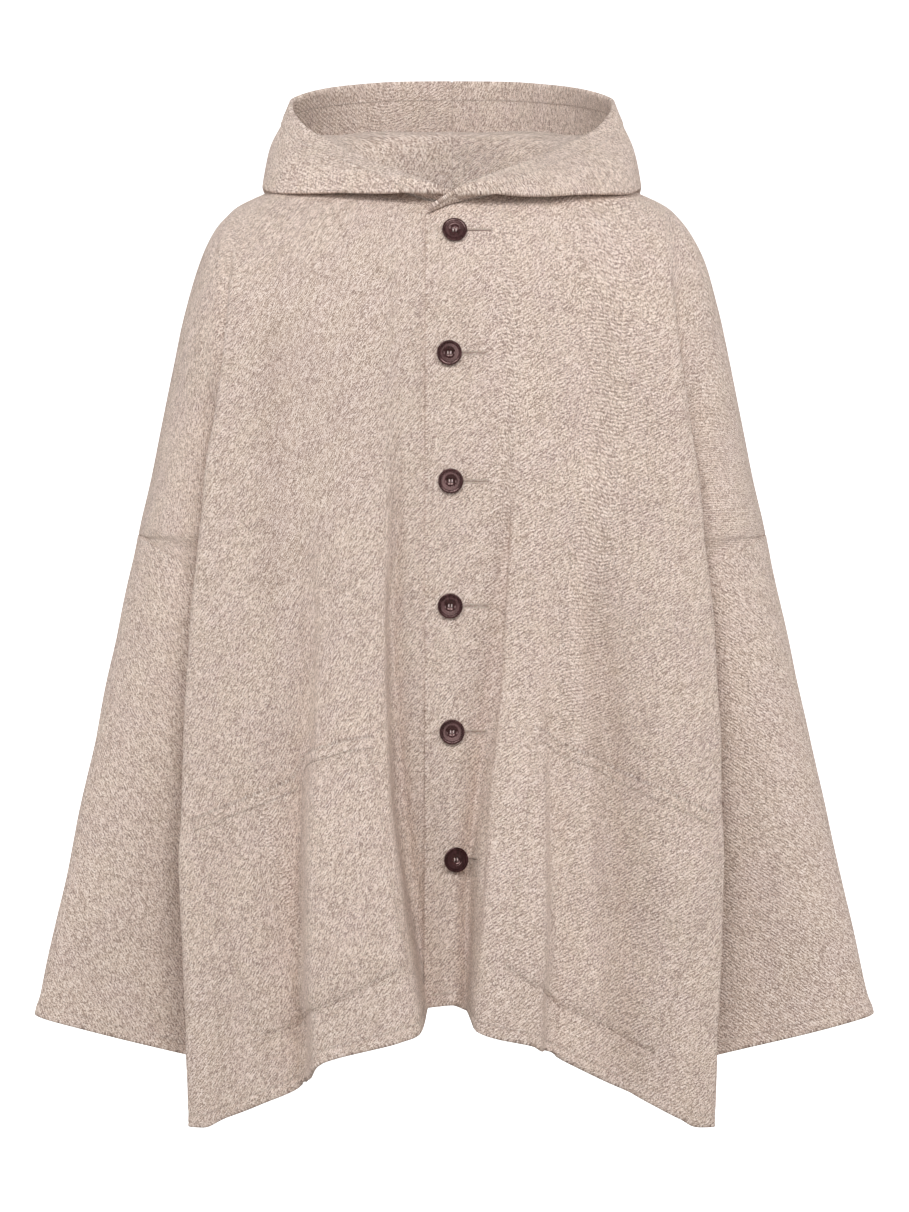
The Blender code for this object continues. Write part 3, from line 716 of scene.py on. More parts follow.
def waver(points: np.ndarray, size: float, rise: float, seed: float) -> np.ndarray:
    """The slight unevenness of heavy cloth.

    Args:
        points: Rows by columns by place.
        size: Spacing of the bumps in metres.
        rise: Their height in metres.
        seed: Moves the pattern.

    Returns:
        A lift for each point.
    """
    flat = points.reshape(-1, 3) / size + seed
    lifts = [noise.noise(Vector(place)) for place in flat]
    return np.array(lifts).reshape(points.shape[:2]) * rise


class Edge(Enum):
    """How a border of a sheet is finished."""

    RAW = "raw"
    SEAM = "seam"
    HEM = "hem"


@dataclass
class Borders:
    """The finish of the four borders of a sheet, and the depth of the turned hem.

    mouth marks a hem that lies open over the cloth behind it, as a pocket's does, and gets a painted
    shadow line along its edge.
    """

    top: Edge = Edge.SEAM
    bottom: Edge = Edge.HEM
    left: Edge = Edge.SEAM
    right: Edge = Edge.SEAM
    stitch: float = CLOTH.hem_stitch
    mouth: bool = False


def border_distances(sheet: Sheet) -> dict[str, np.ndarray]:
    """Distance along the cloth of each point from each border, in metres.

    Args:
        sheet: The sheet, with its flat places measured.

    Returns:
        The distances by the border's name.
    """
    flat = sheet.flat
    down = flat[:1, :, 1] - flat[..., 1]
    far = {"top": down, "bottom": flat[..., 1]}
    if not sheet.closed:
        far["left"] = flat[..., 0] - flat[:, :1, 0]
        far["right"] = flat[:, -1:, 0] - flat[..., 0]
    return far


def border_fade(sheet: Sheet, *kept: str) -> np.ndarray:
    """A share that rises from 0 on each border of a sheet to 1, apart from the borders kept.

    Args:
        sheet: The sheet.
        kept: The borders that it stays 1 at.

    Returns:
        The share at each point.
    """
    fade = np.ones(sheet.points.shape[:2])
    for border, distance in border_distances(sheet).items():
        if border not in kept:
            fade = fade * smooth_step(0.0, CLOTH.seam_reach, distance)
    return fade


def linked(name: str, data: ID) -> Object:
    """A new object in the scene that shows a mesh, a light or a camera.

    Args:
        name: Name of the object.
        data: What it shows.

    Returns:
        The object.
    """
    made = bpy.data.objects.new(name, data)
    bpy.context.scene.collection.objects.link(made)
    return made


def cloth_object(name: str, sheet: Sheet, borders: Borders, wall: float = CLOTH.wall) -> Object:
    """A two-sided wall of cloth with rounded edges.

    Seams are drawn in a little and hems are turned to the inside and are thicker.

    Args:
        name: Name of the new object.
        sheet: The sheet on the middle of the cloth.
        borders: The finish of its borders.
        wall: Thickness of the cloth.

    Returns:
        The object, at the origin, with its flat places as a UV map and its sewing as attributes.
    """
    rows, columns = sheet.points.shape[:2]
    far = border_distances(sheet)
    seam = np.full((rows, columns), 1.0)
    hem = np.full((rows, columns), 1.0)
    reach = np.full((rows, columns), 1.0)
    for side, distance in far.items():
        kind = getattr(borders, side)
        if kind is Edge.SEAM:
            seam = np.minimum(seam, distance)
            reach[distance <= 0.0] = 0.25
        elif kind is Edge.HEM:
            hem = np.minimum(hem, distance)
    dip = CLOTH.dent * np.exp(-((seam / CLOTH.dent_reach) ** 2))
    groove = CLOTH.dent * np.exp(-(((hem - borders.stitch) / CLOTH.dent_reach) ** 2))
    swell = CLOTH.swell * smooth_step(0.0, 0.003, hem) * (1 - smooth_step(0.006, 0.011, hem))
    out = np.full((rows, columns), wall / 2) - dip - groove + swell
    bend = smooth_step(borders.stitch, borders.stitch + CLOTH.hem_bend, hem)
    inside = np.full((rows, columns), wall / 2) + dip * 0.4 + CLOTH.turned * (1 - bend)
    normals = sheet.normals
    outer = sheet.points + normals * out[..., None]
    inner = sheet.points - normals * inside[..., None]
    index = np.arange(rows * columns).reshape(rows, columns)
    if sheet.closed:
        wrapped = np.concatenate([index, index[:, :1]], axis=1)
        loops = [(index[0], index[1]), (index[-1][::-1], index[-2][::-1])]
    else:
        wrapped = index
        ring = np.concatenate([index[0, :-1], index[:-1, -1], index[-1, :0:-1], index[:0:-1, 0]])
        inward = np.concatenate([index[1, :-1], index[:-1, -2], index[-2, :0:-1], index[:0:-1, 1]])
        for spot, near in ((0, index[1, 1]), (columns - 1, index[1, -2])):
            inward[spot] = near
        inward[columns + rows - 2] = index[-2, -2]
        inward[2 * columns + rows - 3] = index[-2, 1]
        loops = [(ring, inward)]
    quads = np.stack(
        [wrapped[:-1, :-1], wrapped[:-1, 1:], wrapped[1:, 1:], wrapped[1:, :-1]], axis=-1
    ).reshape(-1, 4)
    count = rows * columns
    faces = [quads if sheet.turn > 0 else quads[:, ::-1]]
    faces.append((faces[0] + count)[:, ::-1])
    places = [outer.reshape(-1, 3), inner.reshape(-1, 3)]
    middle = sheet.points.reshape(-1, 3)
    source = [np.arange(count), np.arange(count)]
    total = 2 * count
    normal_flat = normals.reshape(-1, 3)
    for ring, inward in loops:
        along = middle[np.roll(ring, -1)] - middle[np.roll(ring, 1)]
        away = np.cross(unit(along), normal_flat[ring])
        sign = np.sign(np.sum(away * (middle[ring] - middle[inward]), axis=1, keepdims=True))
        away = unit(away) * sign
        high, low = out.reshape(-1)[ring], inside.reshape(-1)[ring]
        centre = middle[ring] + normal_flat[ring] * ((high - low) / 2)[:, None]
        radius = ((high + low) / 2)[:, None]
        strip = [ring]
        for angle in (45, 90, 135):
            turn = math.radians(angle)
            rim = away * math.sin(turn) * reach.reshape(-1, 1)[ring]
            places.append(centre + (normal_flat[ring] * math.cos(turn) + rim) * radius)
            source.append(ring)
            strip.append(np.arange(total, total + len(ring)))
            total += len(ring)
        strip.append(ring + count)
        for first, second in zip(strip, strip[1:]):
            band = np.stack([first, second, np.roll(second, -1), np.roll(first, -1)], axis=-1)
            faces.append(band if sheet.turn > 0 else band[:, ::-1])
    mesh = bpy.data.meshes.new(name)
    mesh.from_pydata(np.concatenate(places).tolist(), [], np.concatenate(faces).tolist())
    picked = np.concatenate(source)
    flat = sheet.flat.reshape(-1, 2)[picked] * (-sheet.turn, 1)
    # These distances drive painted shade: a painted shadow line along a pocket's mouth only, and darker
    # bands in the stitch and seam grooves.
    mouth = hem if borders.mouth else hem + 1.0
    sewing = {"mouth": mouth, "stitch": hem - borders.stitch, "seam": seam}
    spread = {key: values.reshape(-1)[picked] for key, values in sewing.items()}
    store_cloth_data(mesh, flat, spread)
    mesh.shade_smooth()
    return linked(name, mesh)


def store_cloth_data(mesh: Mesh, flat: np.ndarray, sewing: dict[str, np.ndarray]) -> None:
    """Stores a mesh's flat places as a UV map and its distances to the sewing as attributes.

    Args:
        mesh: The mesh.
        flat: The flat place of each vertex, in metres.
        sewing: Distance of each vertex from each kind of sewing, in metres, by its name.
    """
    corners = np.zeros(len(mesh.loops), dtype=np.int32)
    mesh.loops.foreach_get("vertex_index", corners)
    layer = mesh.uv_layers.new(name="flat")
    layer.data.foreach_set("uv", flat[corners].astype(np.float32).ravel())
    for name, values in sewing.items():
        attribute = mesh.attributes.new(name, "FLOAT", "POINT")
        attribute.data.foreach_set("value", values.astype(np.float32))


# Finishes


def linear(code: str) -> tuple[float, float, float, float]:
    """A colour as linear light from its sRGB hex code.

    Args:
        code: The code, such as #FAECE3.

    Returns:
        Red, green, blue and an alpha of 1.
    """
    parts = [int(code[i : i + 2], 16) / 255 for i in (1, 3, 5)]
    light = [p / 12.92 if p <= 0.04045 else ((p + 0.055) / 1.055) ** 2.4 for p in parts]
    return (light[0], light[1], light[2], 1.0)


def add_node(
    tree: NodeTree,
    kind: str,
    inputs: dict[str | int, object] | None = None,
    **settings: object,
) -> Node:
    """Adds a node with its settings, and its inputs as values or links.

    Args:
        tree: The node tree.
        kind: The node's type.
        inputs: Its inputs by name or number: a socket is linked, anything else is a value.
        settings: Its properties.

    Returns:
        The node.
    """
    node = tree.nodes.new(kind)
    for key, value in settings.items():
        setattr(node, key, value)
    for key, value in (inputs or {}).items():
        if isinstance(value, NodeSocket):
            tree.links.new(value, node.inputs[key])
        else:
            node.inputs[key].default_value = value
    return node


def reckoned(
    tree: NodeTree, operation: str, *given: object, clamp: bool = False
) -> NodeSocket:
    """Adds a node that works out one number from others.

    Args:
        tree: The node tree.
        operation: What it does.
        given: Its numbers, as sockets or values.
        clamp: Whether the result is kept between 0 and 1.

    Returns:
        The result.
    """
    inputs = dict(enumerate(given))
    return add_node(tree, "ShaderNodeMath", inputs, operation=operation, use_clamp=clamp).outputs[0]


def clouds(
    tree: NodeTree, place: NodeSocket, scale: float, output: str = "Fac",
    detail: float = 2.0, roughness: float = 0.5, distortion: float = 0.0,
) -> NodeSocket:
    """Adds a soft uneven pattern.

    Args:
        tree: The node tree.
        place: Where it is read.
        scale: Its patches to the metre.
        output: Fac for a share, or Color.
        detail: Rounds of finer patches in it.
        roughness: Strength of the finer patches.
        distortion: How far it is stirred.

    Returns:
        The pattern.
    """
    inputs = {
        "Vector": place, "Scale": scale, "Detail": detail,
        "Roughness": roughness, "Distortion": distortion,
    }
    return add_node(tree, "ShaderNodeTexNoise", inputs).outputs[output]


def blended(
    tree: NodeTree, share: object, first: object, second: object, way: str = "MIX"
) -> NodeSocket:
    """Adds a blend of two colours.

    Args:
        tree: The node tree.
        share: The share of the second colour.
        first: A colour, as a socket or a value.
        second: The other colour.
        way: How they are blended.

    Returns:
        The blend.
    """
    inputs = {0: share, 6: first, 7: second}
    return add_node(tree, "ShaderNodeMix", inputs, data_type="RGBA", blend_type=way).outputs[2]


def new_finish(name: str, inputs: dict[str, object]) -> tuple[Material, NodeTree, Node]:
    """Makes a material and sets inputs of its surface.

    Args:
        name: Name of the material.
        inputs: Values of the surface's inputs, by name.

    Returns:
        The material, its node tree and its surface node.
    """
    material = bpy.data.materials.new(name)
    material.use_nodes = True
    tree = material.node_tree
    surface = tree.nodes["Principled BSDF"]
    for key, value in inputs.items():
        surface.inputs[key].default_value = value
    return material, tree, surface


@dataclass(frozen=True)
class FeltedTwill:
    """Heavy felted wool twill in a pale heather.

    Mixed light and dark wool is spun together, woven in a twill and milled until its surface is a
    short nap, so that the eye sees short slanting flecks, broken by the nap, with no shine.
    The flecks are drawn a little coarser than the yarn, because the yarn is too fine to see.
    """

    name: str = "felted_wool_twill"
    light: str = "#FAECE3"
    middle: str = "#D1BAAC"
    dark: str = "#7C6963"
    warm: str = "#D2BFA9"
    rose: str = "#C9B2A9"
    twill_slope: float = 0.8
    twill_mm: float = 2.3
    fleck_mm: tuple[float, float] = (1.9, 0.8)
    nap_mm: float = 0.85
    heather_mm: float = 38.0
    twill_share: float = 0.09
    fleck_share: float = 1.05
    nap_share: float = 2.6

    def build(self) -> Material:
        """Makes the material, which reads the flat UV map and the sewing attributes."""
        nap_look = {
            "Roughness": 0.95,
            "Specular IOR Level": 0.12,
            "Sheen Weight": 0.22,
            "Sheen Roughness": 0.55,
            "Sheen Tint": linear("#F2E6DC"),
        }
        material, tree, surface = new_finish(self.name, nap_look)
        flat = add_node(tree, "ShaderNodeUVMap", uv_map="flat").outputs["UV"]
        weave, nap = self.weave(tree, flat)
        # The cloth's colour is scaled down by painted shade near the sewing.
        painted_shade_parts = {0: self.heathered(tree, flat, weave), "Scale": self.painted_sewing_shade(tree)}
        shaded = add_node(tree, "ShaderNodeVectorMath", painted_shade_parts, operation="SCALE").outputs[0]
        tree.links.new(shaded, surface.inputs["Base Color"])
        depth = {"Height": nap, "Strength": 0.45, "Distance": 0.0005}
        relief = add_node(tree, "ShaderNodeBump", depth).outputs[0]
        tree.links.new(relief, surface.inputs["Normal"])
        return material

    def weave(
        self, tree: NodeTree, flat: NodeSocket
    ) -> tuple[NodeSocket, NodeSocket]:
        """The slanting flecks and the nap of the cloth.

        Args:
            tree: The material's nodes.
            flat: The place on the flat cloth.

        Returns:
            How light the cloth is, around 0, and the height of its nap.
        """
        drift = {0: clouds(tree, flat, 320.0, "Color"), 1: (0.0016, 0.0016, 0.0), 2: flat}
        wander = add_node(tree, "ShaderNodeVectorMath", drift, operation="MULTIPLY_ADD").outputs[0]
        slope = {"Vector": wander, "Rotation": (0.0, 0.0, self.twill_slope)}
        turned = add_node(tree, "ShaderNodeMapping", slope, vector_type="TEXTURE").outputs[0]
        long, thick = self.fleck_mm
        fleck = {"Vector": turned, "Scale": (1000 / long, 1000 / thick, 1.0)}
        stretched = add_node(tree, "ShaderNodeMapping", fleck).outputs[0]
        cells = {"Vector": stretched, "Scale": 1.0}
        flecks = add_node(tree, "ShaderNodeTexVoronoi", cells, voronoi_dimensions="2D").outputs["Color"]
        across = add_node(tree, "ShaderNodeSeparateXYZ", {0: turned}).outputs["Y"]
        phase = reckoned(tree, "MULTIPLY", across, 2 * math.pi * 1000 / self.twill_mm)
        ribs = reckoned(tree, "SINE", phase)
        nap = clouds(tree, flat, 1000 / self.nap_mm, detail=1.0)
        total = None
        for source, share, middle in (
            (ribs, self.twill_share, 0.0),
            (flecks, self.fleck_share, 0.5),
            (nap, self.nap_share, 0.5),
        ):
            part = reckoned(tree, "MULTIPLY_ADD", source, share, -share * middle)
            total = part if total is None else reckoned(tree, "ADD", total, part)
        return total, reckoned(tree, "ADD", nap, ribs)

    def heathered(
        self, tree: NodeTree, flat: NodeSocket, weave: NodeSocket
    ) -> NodeSocket:
        """The colour of the cloth, light to dark by its weave and warm to rose in patches.

        Args:
            tree: The material's nodes.
            flat: The place on the flat cloth.
            weave: How light the cloth is, around 0.

        Returns:
            The colour.
        """
        ramp = add_node(
            tree, "ShaderNodeValToRGB", {"Fac": reckoned(tree, "ADD", weave, 0.5, clamp=True)}
        )
        stops = ramp.color_ramp.elements
        stops[0].position, stops[0].color = 0.05, linear(self.dark)
        stops[1].position, stops[1].color = 0.95, linear(self.light)
        stops.new(0.5).color = linear(self.middle)
        heather = clouds(tree, flat, 1000 / self.heather_mm, detail=4.0, roughness=0.6)
        patches = {"Value": heather, "From Min": 0.38, "From Max": 0.62}
        patch = add_node(tree, "ShaderNodeMapRange", patches).outputs[0]
        hue = blended(tree, patch, linear(self.rose), linear(self.warm))
        return blended(tree, 0.2, ramp.outputs[0], hue)

    def painted_sewing_shade(self, tree: NodeTree) -> NodeSocket:
        """Painted shade along seams, stitches and pocket mouths: the cloth's colour is darkened in the
        seam and stitch grooves and along a pocket's open mouth, where shade falls.

        Args:
            tree: The material's nodes.

        Returns:
            A share of the cloth's own colour, 1 away from the sewing.
        """
        shade = 1.0
        # Painted shade: darker bands in the seam and stitch grooves, and a painted shadow line along each
        # pocket's mouth.
        painted_shade_parts = (("seam", 0.0022, 0.91), ("stitch", 0.002, 0.87), ("mouth", 0.0026, 0.76))
        for name, reach, least in painted_shade_parts:
            place = add_node(tree, "ShaderNodeAttribute", attribute_name=name).outputs["Fac"]
            span = {
                "Value": reckoned(tree, "ABSOLUTE", place),
                "From Min": 0.0, "From Max": reach, "To Min": least, "To Max": 1.0,
            }
            near = add_node(
                tree, "ShaderNodeMapRange", span, interpolation_type="SMOOTHSTEP"
            ).outputs[0]
            shade = reckoned(tree, "MULTIPLY", near, shade)
        return shade


@dataclass(frozen=True)
class CottonThread:
    """Matching sewing thread, a fine twisted cotton that sits a shade darker in the nap."""

    name: str = "sewing_thread"
    colour: str = "#C8B5A8"

    def build(self) -> Material:
        """Makes the material, with the thread's slight unevenness of colour."""
        material, tree, surface = new_finish(self.name, {"Roughness": 0.8})
        place = add_node(tree, "ShaderNodeTexCoord").outputs["Object"]
        speck = clouds(tree, place, 900.0, "Color")
        colour = blended(tree, 0.35, linear(self.colour), speck, "MULTIPLY")
        tree.links.new(colour, surface.inputs["Base Color"])
        return material


@dataclass(frozen=True)
class PolishedHorn:
    """Turned and polished dark horn: purplish brown with faint streaks under a gloss."""

    name: str = "polished_horn"
    dark: str = "#2B1414"
    streak: str = "#4C2E31"

    def build(self) -> Material:
        """Makes the material, with streaks on object coordinates."""
        gloss = {"Roughness": 0.2, "Specular IOR Level": 0.95, "Specular Tint": linear("#E8C2BE")}
        material, tree, surface = new_finish(self.name, gloss)
        place = add_node(tree, "ShaderNodeTexCoord").outputs["Object"]
        grain = {"Vector": place, "Scale": (260.0, 260.0, 90.0)}
        stretched = add_node(tree, "ShaderNodeMapping", grain).outputs[0]
        cloud = clouds(tree, stretched, 1.0, detail=4.0, distortion=1.2)
        ramp = add_node(tree, "ShaderNodeValToRGB", {"Fac": cloud})
        stops = ramp.color_ramp.elements
        stops[0].position, stops[0].color = 0.4, linear(self.dark)
        stops[1].position, stops[1].color = 0.75, linear(self.streak)
        tree.links.new(ramp.outputs[0], surface.inputs["Base Color"])
        return material


@dataclass
class Finishes:
    """The materials of the coat, made once."""

    wool: Material = field(default_factory=lambda: FeltedTwill().build())
    thread: Material = field(default_factory=lambda: CottonThread().build())
    button_thread: Material = field(
        default_factory=lambda: CottonThread("button_thread", "#E6D2CE").build()
    )
    # A dark cord colour for the buttonhole slits: painted shadow that stands in for the shade inside the
    # open slit.
    shade: Material = field(
        default_factory=lambda: CottonThread("buttonhole_slit_painted_shadow", "#8A7268").build()
    )
    horn: Material = field(default_factory=lambda: PolishedHorn().build())


# Sewing

# A path on the cloth: its points and the outward directions there
Path = tuple[np.ndarray, np.ndarray]

@dataclass
class StitchRun:
    """A row of stitches along a path on the cloth, made with geometry nodes."""

    length: float = 0.0034
    gap: float = 0.0007
    width: float = 0.0008
    height: float = 0.0005

    def tree(self, material: Material) -> NodeTree:
        """The node tree: a path with an outward attribute becomes a row of stitches.

        Args:
            material: The thread.

        Returns:
            The geometry node tree, with pitch, length, width and height as inputs.
        """
        tree = bpy.data.node_groups.new("stitches", "GeometryNodeTree")
        face = tree.interface
        face.new_socket("Geometry", in_out="INPUT", socket_type="NodeSocketGeometry")
        for name in ("Pitch", "Length", "Width", "Height"):
            face.new_socket(name, in_out="INPUT", socket_type="NodeSocketFloat")
        face.new_socket("Geometry", in_out="OUTPUT", socket_type="NodeSocketGeometry")
        given = add_node(tree, "NodeGroupInput").outputs
        path = add_node(tree, "GeometryNodeMeshToCurve", {"Mesh": given["Geometry"]})
        pitch = {"Curve": path.outputs[0], "Length": given["Pitch"]}
        even = add_node(tree, "GeometryNodeResampleCurve", pitch, mode="LENGTH")
        outward = add_node(
            tree, "GeometryNodeInputNamedAttribute", {"Name": "outward"}, data_type="FLOAT_VECTOR"
        )
        tangent = add_node(tree, "GeometryNodeInputTangent")
        axes = {0: tangent.outputs[0], 1: outward.outputs["Attribute"]}
        facing = add_node(
            tree, "FunctionNodeAxesToRotation", axes, primary_axis="X", secondary_axis="Z"
        )
        bead = add_node(tree, "GeometryNodeMeshUVSphere", {"Segments": 8, "Rings": 5, "Radius": 0.5})
        sides = {"X": given["Length"], "Y": given["Width"], "Z": given["Height"]}
        beads = {
            "Points": even.outputs[0],
            "Instance": bead.outputs[0],
            "Rotation": facing.outputs[0],
            "Scale": add_node(tree, "ShaderNodeCombineXYZ", sides).outputs[0],
        }
        placed = add_node(tree, "GeometryNodeInstanceOnPoints", beads)
        real = add_node(tree, "GeometryNodeRealizeInstances", {0: placed.outputs[0]})
        thread = {0: real.outputs[0], "Material": material}
        dressed = add_node(tree, "GeometryNodeSetMaterial", thread)
        add_node(tree, "NodeGroupOutput", {0: dressed.outputs[0]})
        return tree

    def sew(self, name: str, paths: Sequence[Path], tree: NodeTree) -> Object:
        """Sews stitches along paths and returns them as one plain mesh.

        Args:
            name: Name of the new object.
            paths: Each path as its points and the outward directions there.
            tree: The stitch tree.

        Returns:
            The object.
        """
        points, outward, edges = [], [], []
        for path, out in paths:
            start = len(points)
            points += path.tolist()
            outward += out.tolist()
            edges += [(start + i, start + i + 1) for i in range(len(path) - 1)]
        mesh = bpy.data.meshes.new(name + "_path")
        mesh.from_pydata(points, edges, [])
        store = mesh.attributes.new("outward", "FLOAT_VECTOR", "POINT")
        store.data.foreach_set("vector", np.array(outward, np.float32).ravel())
        carrier = linked(name + "_path", mesh)
        modifier = carrier.modifiers.new("stitches", "NODES")
        modifier.node_group = tree
        sizes = {
            "Pitch": self.length + self.gap,
            "Length": self.length,
            "Width": self.width,
            "Height": self.height,
        }
        for item in tree.interface.items_tree:
            if item.in_out == "INPUT" and item.name in sizes:
                modifier[item.identifier] = sizes[item.name]
        return baked(name, carrier)


def baked(name: str, carrier: Object) -> Object:
    """Turns an object with modifiers into a plain mesh and removes the first one.

    Args:
        name: Name of the new object.
        carrier: The object with modifiers.

    Returns:
        The plain object.
    """
    graph = bpy.context.evaluated_depsgraph_get()
    mesh = bpy.data.meshes.new_from_object(carrier.evaluated_get(graph), depsgraph=graph)
    mesh.name = name
    bpy.data.objects.remove(carrier)
    mesh.shade_smooth()
    return linked(name, mesh)


@dataclass
class Tailor:
    """What every sub-assembly shares: the finishes and the stitch tree."""

    finishes: Finishes
    stitches: StitchRun
    tree: NodeTree

    def dress(self, made: Object, finish: Material, slot: str, *nodes: str) -> None:
        """Gives an object its finish and body, and hides the nodes it stands for.

        Args:
            made: The object.
            finish: Its material.
            slot: The name of its material slot; not used.
            nodes: The nodes of the solids that it stands for.
        """
        made.data.materials.clear()
        made.data.materials.append(finish)
        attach(made, "root")
        if nodes:
            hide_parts(*nodes)
        LOG.info("%s: %d faces", made.name, len(made.data.polygons))

    def panel(
        self, node: str, sheet: Sheet, borders: Borders, rows: str, paths: Sequence[Path],
        wall: float = CLOTH.wall,
    ) -> tuple[Object, Object]:
        """Makes and dresses the cloth that stands for a node, and sews its rows of stitches.

        Args:
            node: The node of the solids.
            sheet: The sheet on the middle of the cloth.
            borders: The finish of its borders.
            rows: What the rows of stitches are called.
            paths: The rows of stitches.
            wall: Thickness of the cloth.

        Returns:
            The cloth and its stitches.
        """
        made = cloth_object("coat_" + node, sheet, borders, wall)
        self.dress(made, self.finishes.wool, "wool", node)
        sewn = self.stitches.sew(f"{node}_{rows}", paths, self.tree)
        self.dress(sewn, self.finishes.thread, "wool")
        return made, sewn


def border_path(
    sheet: Sheet, border: str, distance: float, lift: float, ends: float = 0.004
) -> Path:
    """A path beside a border of a sheet.

    Args:
        sheet: The sheet.
        border: Its border: top, bottom, left or right.
        distance: How far inside the border, along the cloth.
        lift: How far out from the middle of the cloth, below 0 for the inside.
        ends: How far from the ends of an open border the path stops.

    Returns:
        The points and the outward directions.
    """
    far = border_distances(sheet)[border]
    rows, columns = far.shape
    if border in ("top", "bottom"):
        order = np.arange(columns)
        away = np.array([np.interp(distance, *rising(far[:, i])) for i in order])
        spots = (away, order.astype(float))
        if sheet.closed:
            points = mixed_column(sheet.points, away)
            out = unit(mixed_column(sheet.normals, away))
            points, out = np.vstack([points, points[:1]]), np.vstack([out, out[:1]])
            return points + out * lift, out * np.sign(lift)
        run = border_distances(sheet)["left"][rows // 2]
    else:
        order = np.arange(rows)
        away = np.array([np.interp(distance, *rising(far[i])) for i in order])
        spots = (order.astype(float), away)
        run = border_distances(sheet)["bottom"][::-1, columns // 2]
    inner = (run > ends) & (run < run[-1] - ends)
    points, out = sheet.at(spots[0][inner], spots[1][inner])
    return points + out * lift, out * np.sign(lift)


def hem_path(sheet: Sheet) -> list[Path]:
    """The row of stitches along the bottom hem of a sheet, on its face."""
    return [border_path(sheet, "bottom", CLOTH.hem_stitch, CLOTH.wall / 2 - CLOTH.stitch_sink)]


def rising(distances: np.ndarray) -> tuple[np.ndarray, np.ndarray]:
    """Distances in rising order with their counts, to find the count at a distance.

    Args:
        distances: Distances that rise or fall all along.

    Returns:
        The rising distances and the count of each.
    """
    order = np.arange(len(distances))
    if distances[0] > distances[-1]:
        return distances[::-1], order[::-1]
    return distances, order


def mixed_column(values: np.ndarray, rows: np.ndarray) -> np.ndarray:
    """The value of each column at its own row, which may lie between two rows.

    Args:
        values: Rows by columns by value.
        rows: A row for each column.

    Returns:
        A value for each column.
    """
    low = rows.astype(int)
    share = (rows - low)[:, None]
    order = np.arange(values.shape[1])
    return values[low, order] * (1 - share) + values[low + 1, order] * share


# The coat

FRONT_RIGHT_CREASES = (
    Crease(
        "front crease",
        ((-44, -200), (-46, -300), (-50, -385), (-48, -470), (-42, -560), (-30, -645), (-22, -740)),
        -9.5, 5.5, 1.1,
    ),
    Crease("valley below the shoulder", ((-151, -90), (-152, -190), (-151, -330), (-146, -460)), -5.0, 10),
    Crease("chest ridge", ((-106, -90), (-104, -220), (-98, -330), (-96, -430)), 3.5, 20),
    Crease(
        "step crease",
        ((-119, -290), (-122, -400), (-124, -500), (-131, -640), (-128, -900)),
        -4.0, 7, 1.5,
    ),
    Crease("outer ridge", ((-176, -300), (-180, -430), (-176, -560)), 3.0, 18),
    Crease("low outer valley", ((-196, -560), (-190, -680), (-184, -900)), -5.0, 12),
)
FRONT_LEFT_CREASES = (
    Crease(
        "front crease",
        ((50, -220), (49, -300), (41, -385), (35, -470), (26, -560), (21, -650), (19, -740)),
        -9.5, 5.5, 1.1,
    ),
    Crease("valley below the shoulder", ((118, -100), (124, -200), (118, -300)), -4.5, 13),
    Crease("first valley", ((90, -270), (86, -380), (84, -480), (86, -620), (86, -900)), -6.0, 7, 1.5),
    Crease("ridge between", ((102, -330), (106, -440), (108, -560), (108, -680)), 4.0, 11),
    Crease("second valley", ((120, -300), (124, -390), (134, -500), (137, -640), (147, -900)), -12.0, 14),
    Crease("outer ridge", ((172, -330), (176, -460), (180, -600), (182, -700)), 3.5, 15),
    Crease("corner valley", ((203, -630), (204, -720), (206, -900)), -4.0, 12),
)
BACK_CREASES = (
    Crease("left valley", ((125, -120), (135, -300), (138, -480), (128, -640)), -5.0, 14),
    Crease("left ridge", ((168, -260), (172, -400), (178, -560)), 3.5, 16),
    Crease("middle left valley", ((52, -330), (58, -480), (50, -620), (56, -900)), -5.5, 11),
    Crease("middle right valley", ((-40, -380), (-34, -520), (-46, -660), (-44, -900)), -5.0, 12),
    Crease("right valley", ((-118, -150), (-128, -320), (-136, -500), (-130, -660)), -4.5, 14),
    Crease("right ridge", ((-170, -300), (-168, -450), (-176, -620)), 3.0, 17),
    Crease("low right valley", ((-196, -580), (-190, -700), (-188, -900)), -4.5, 12),
)


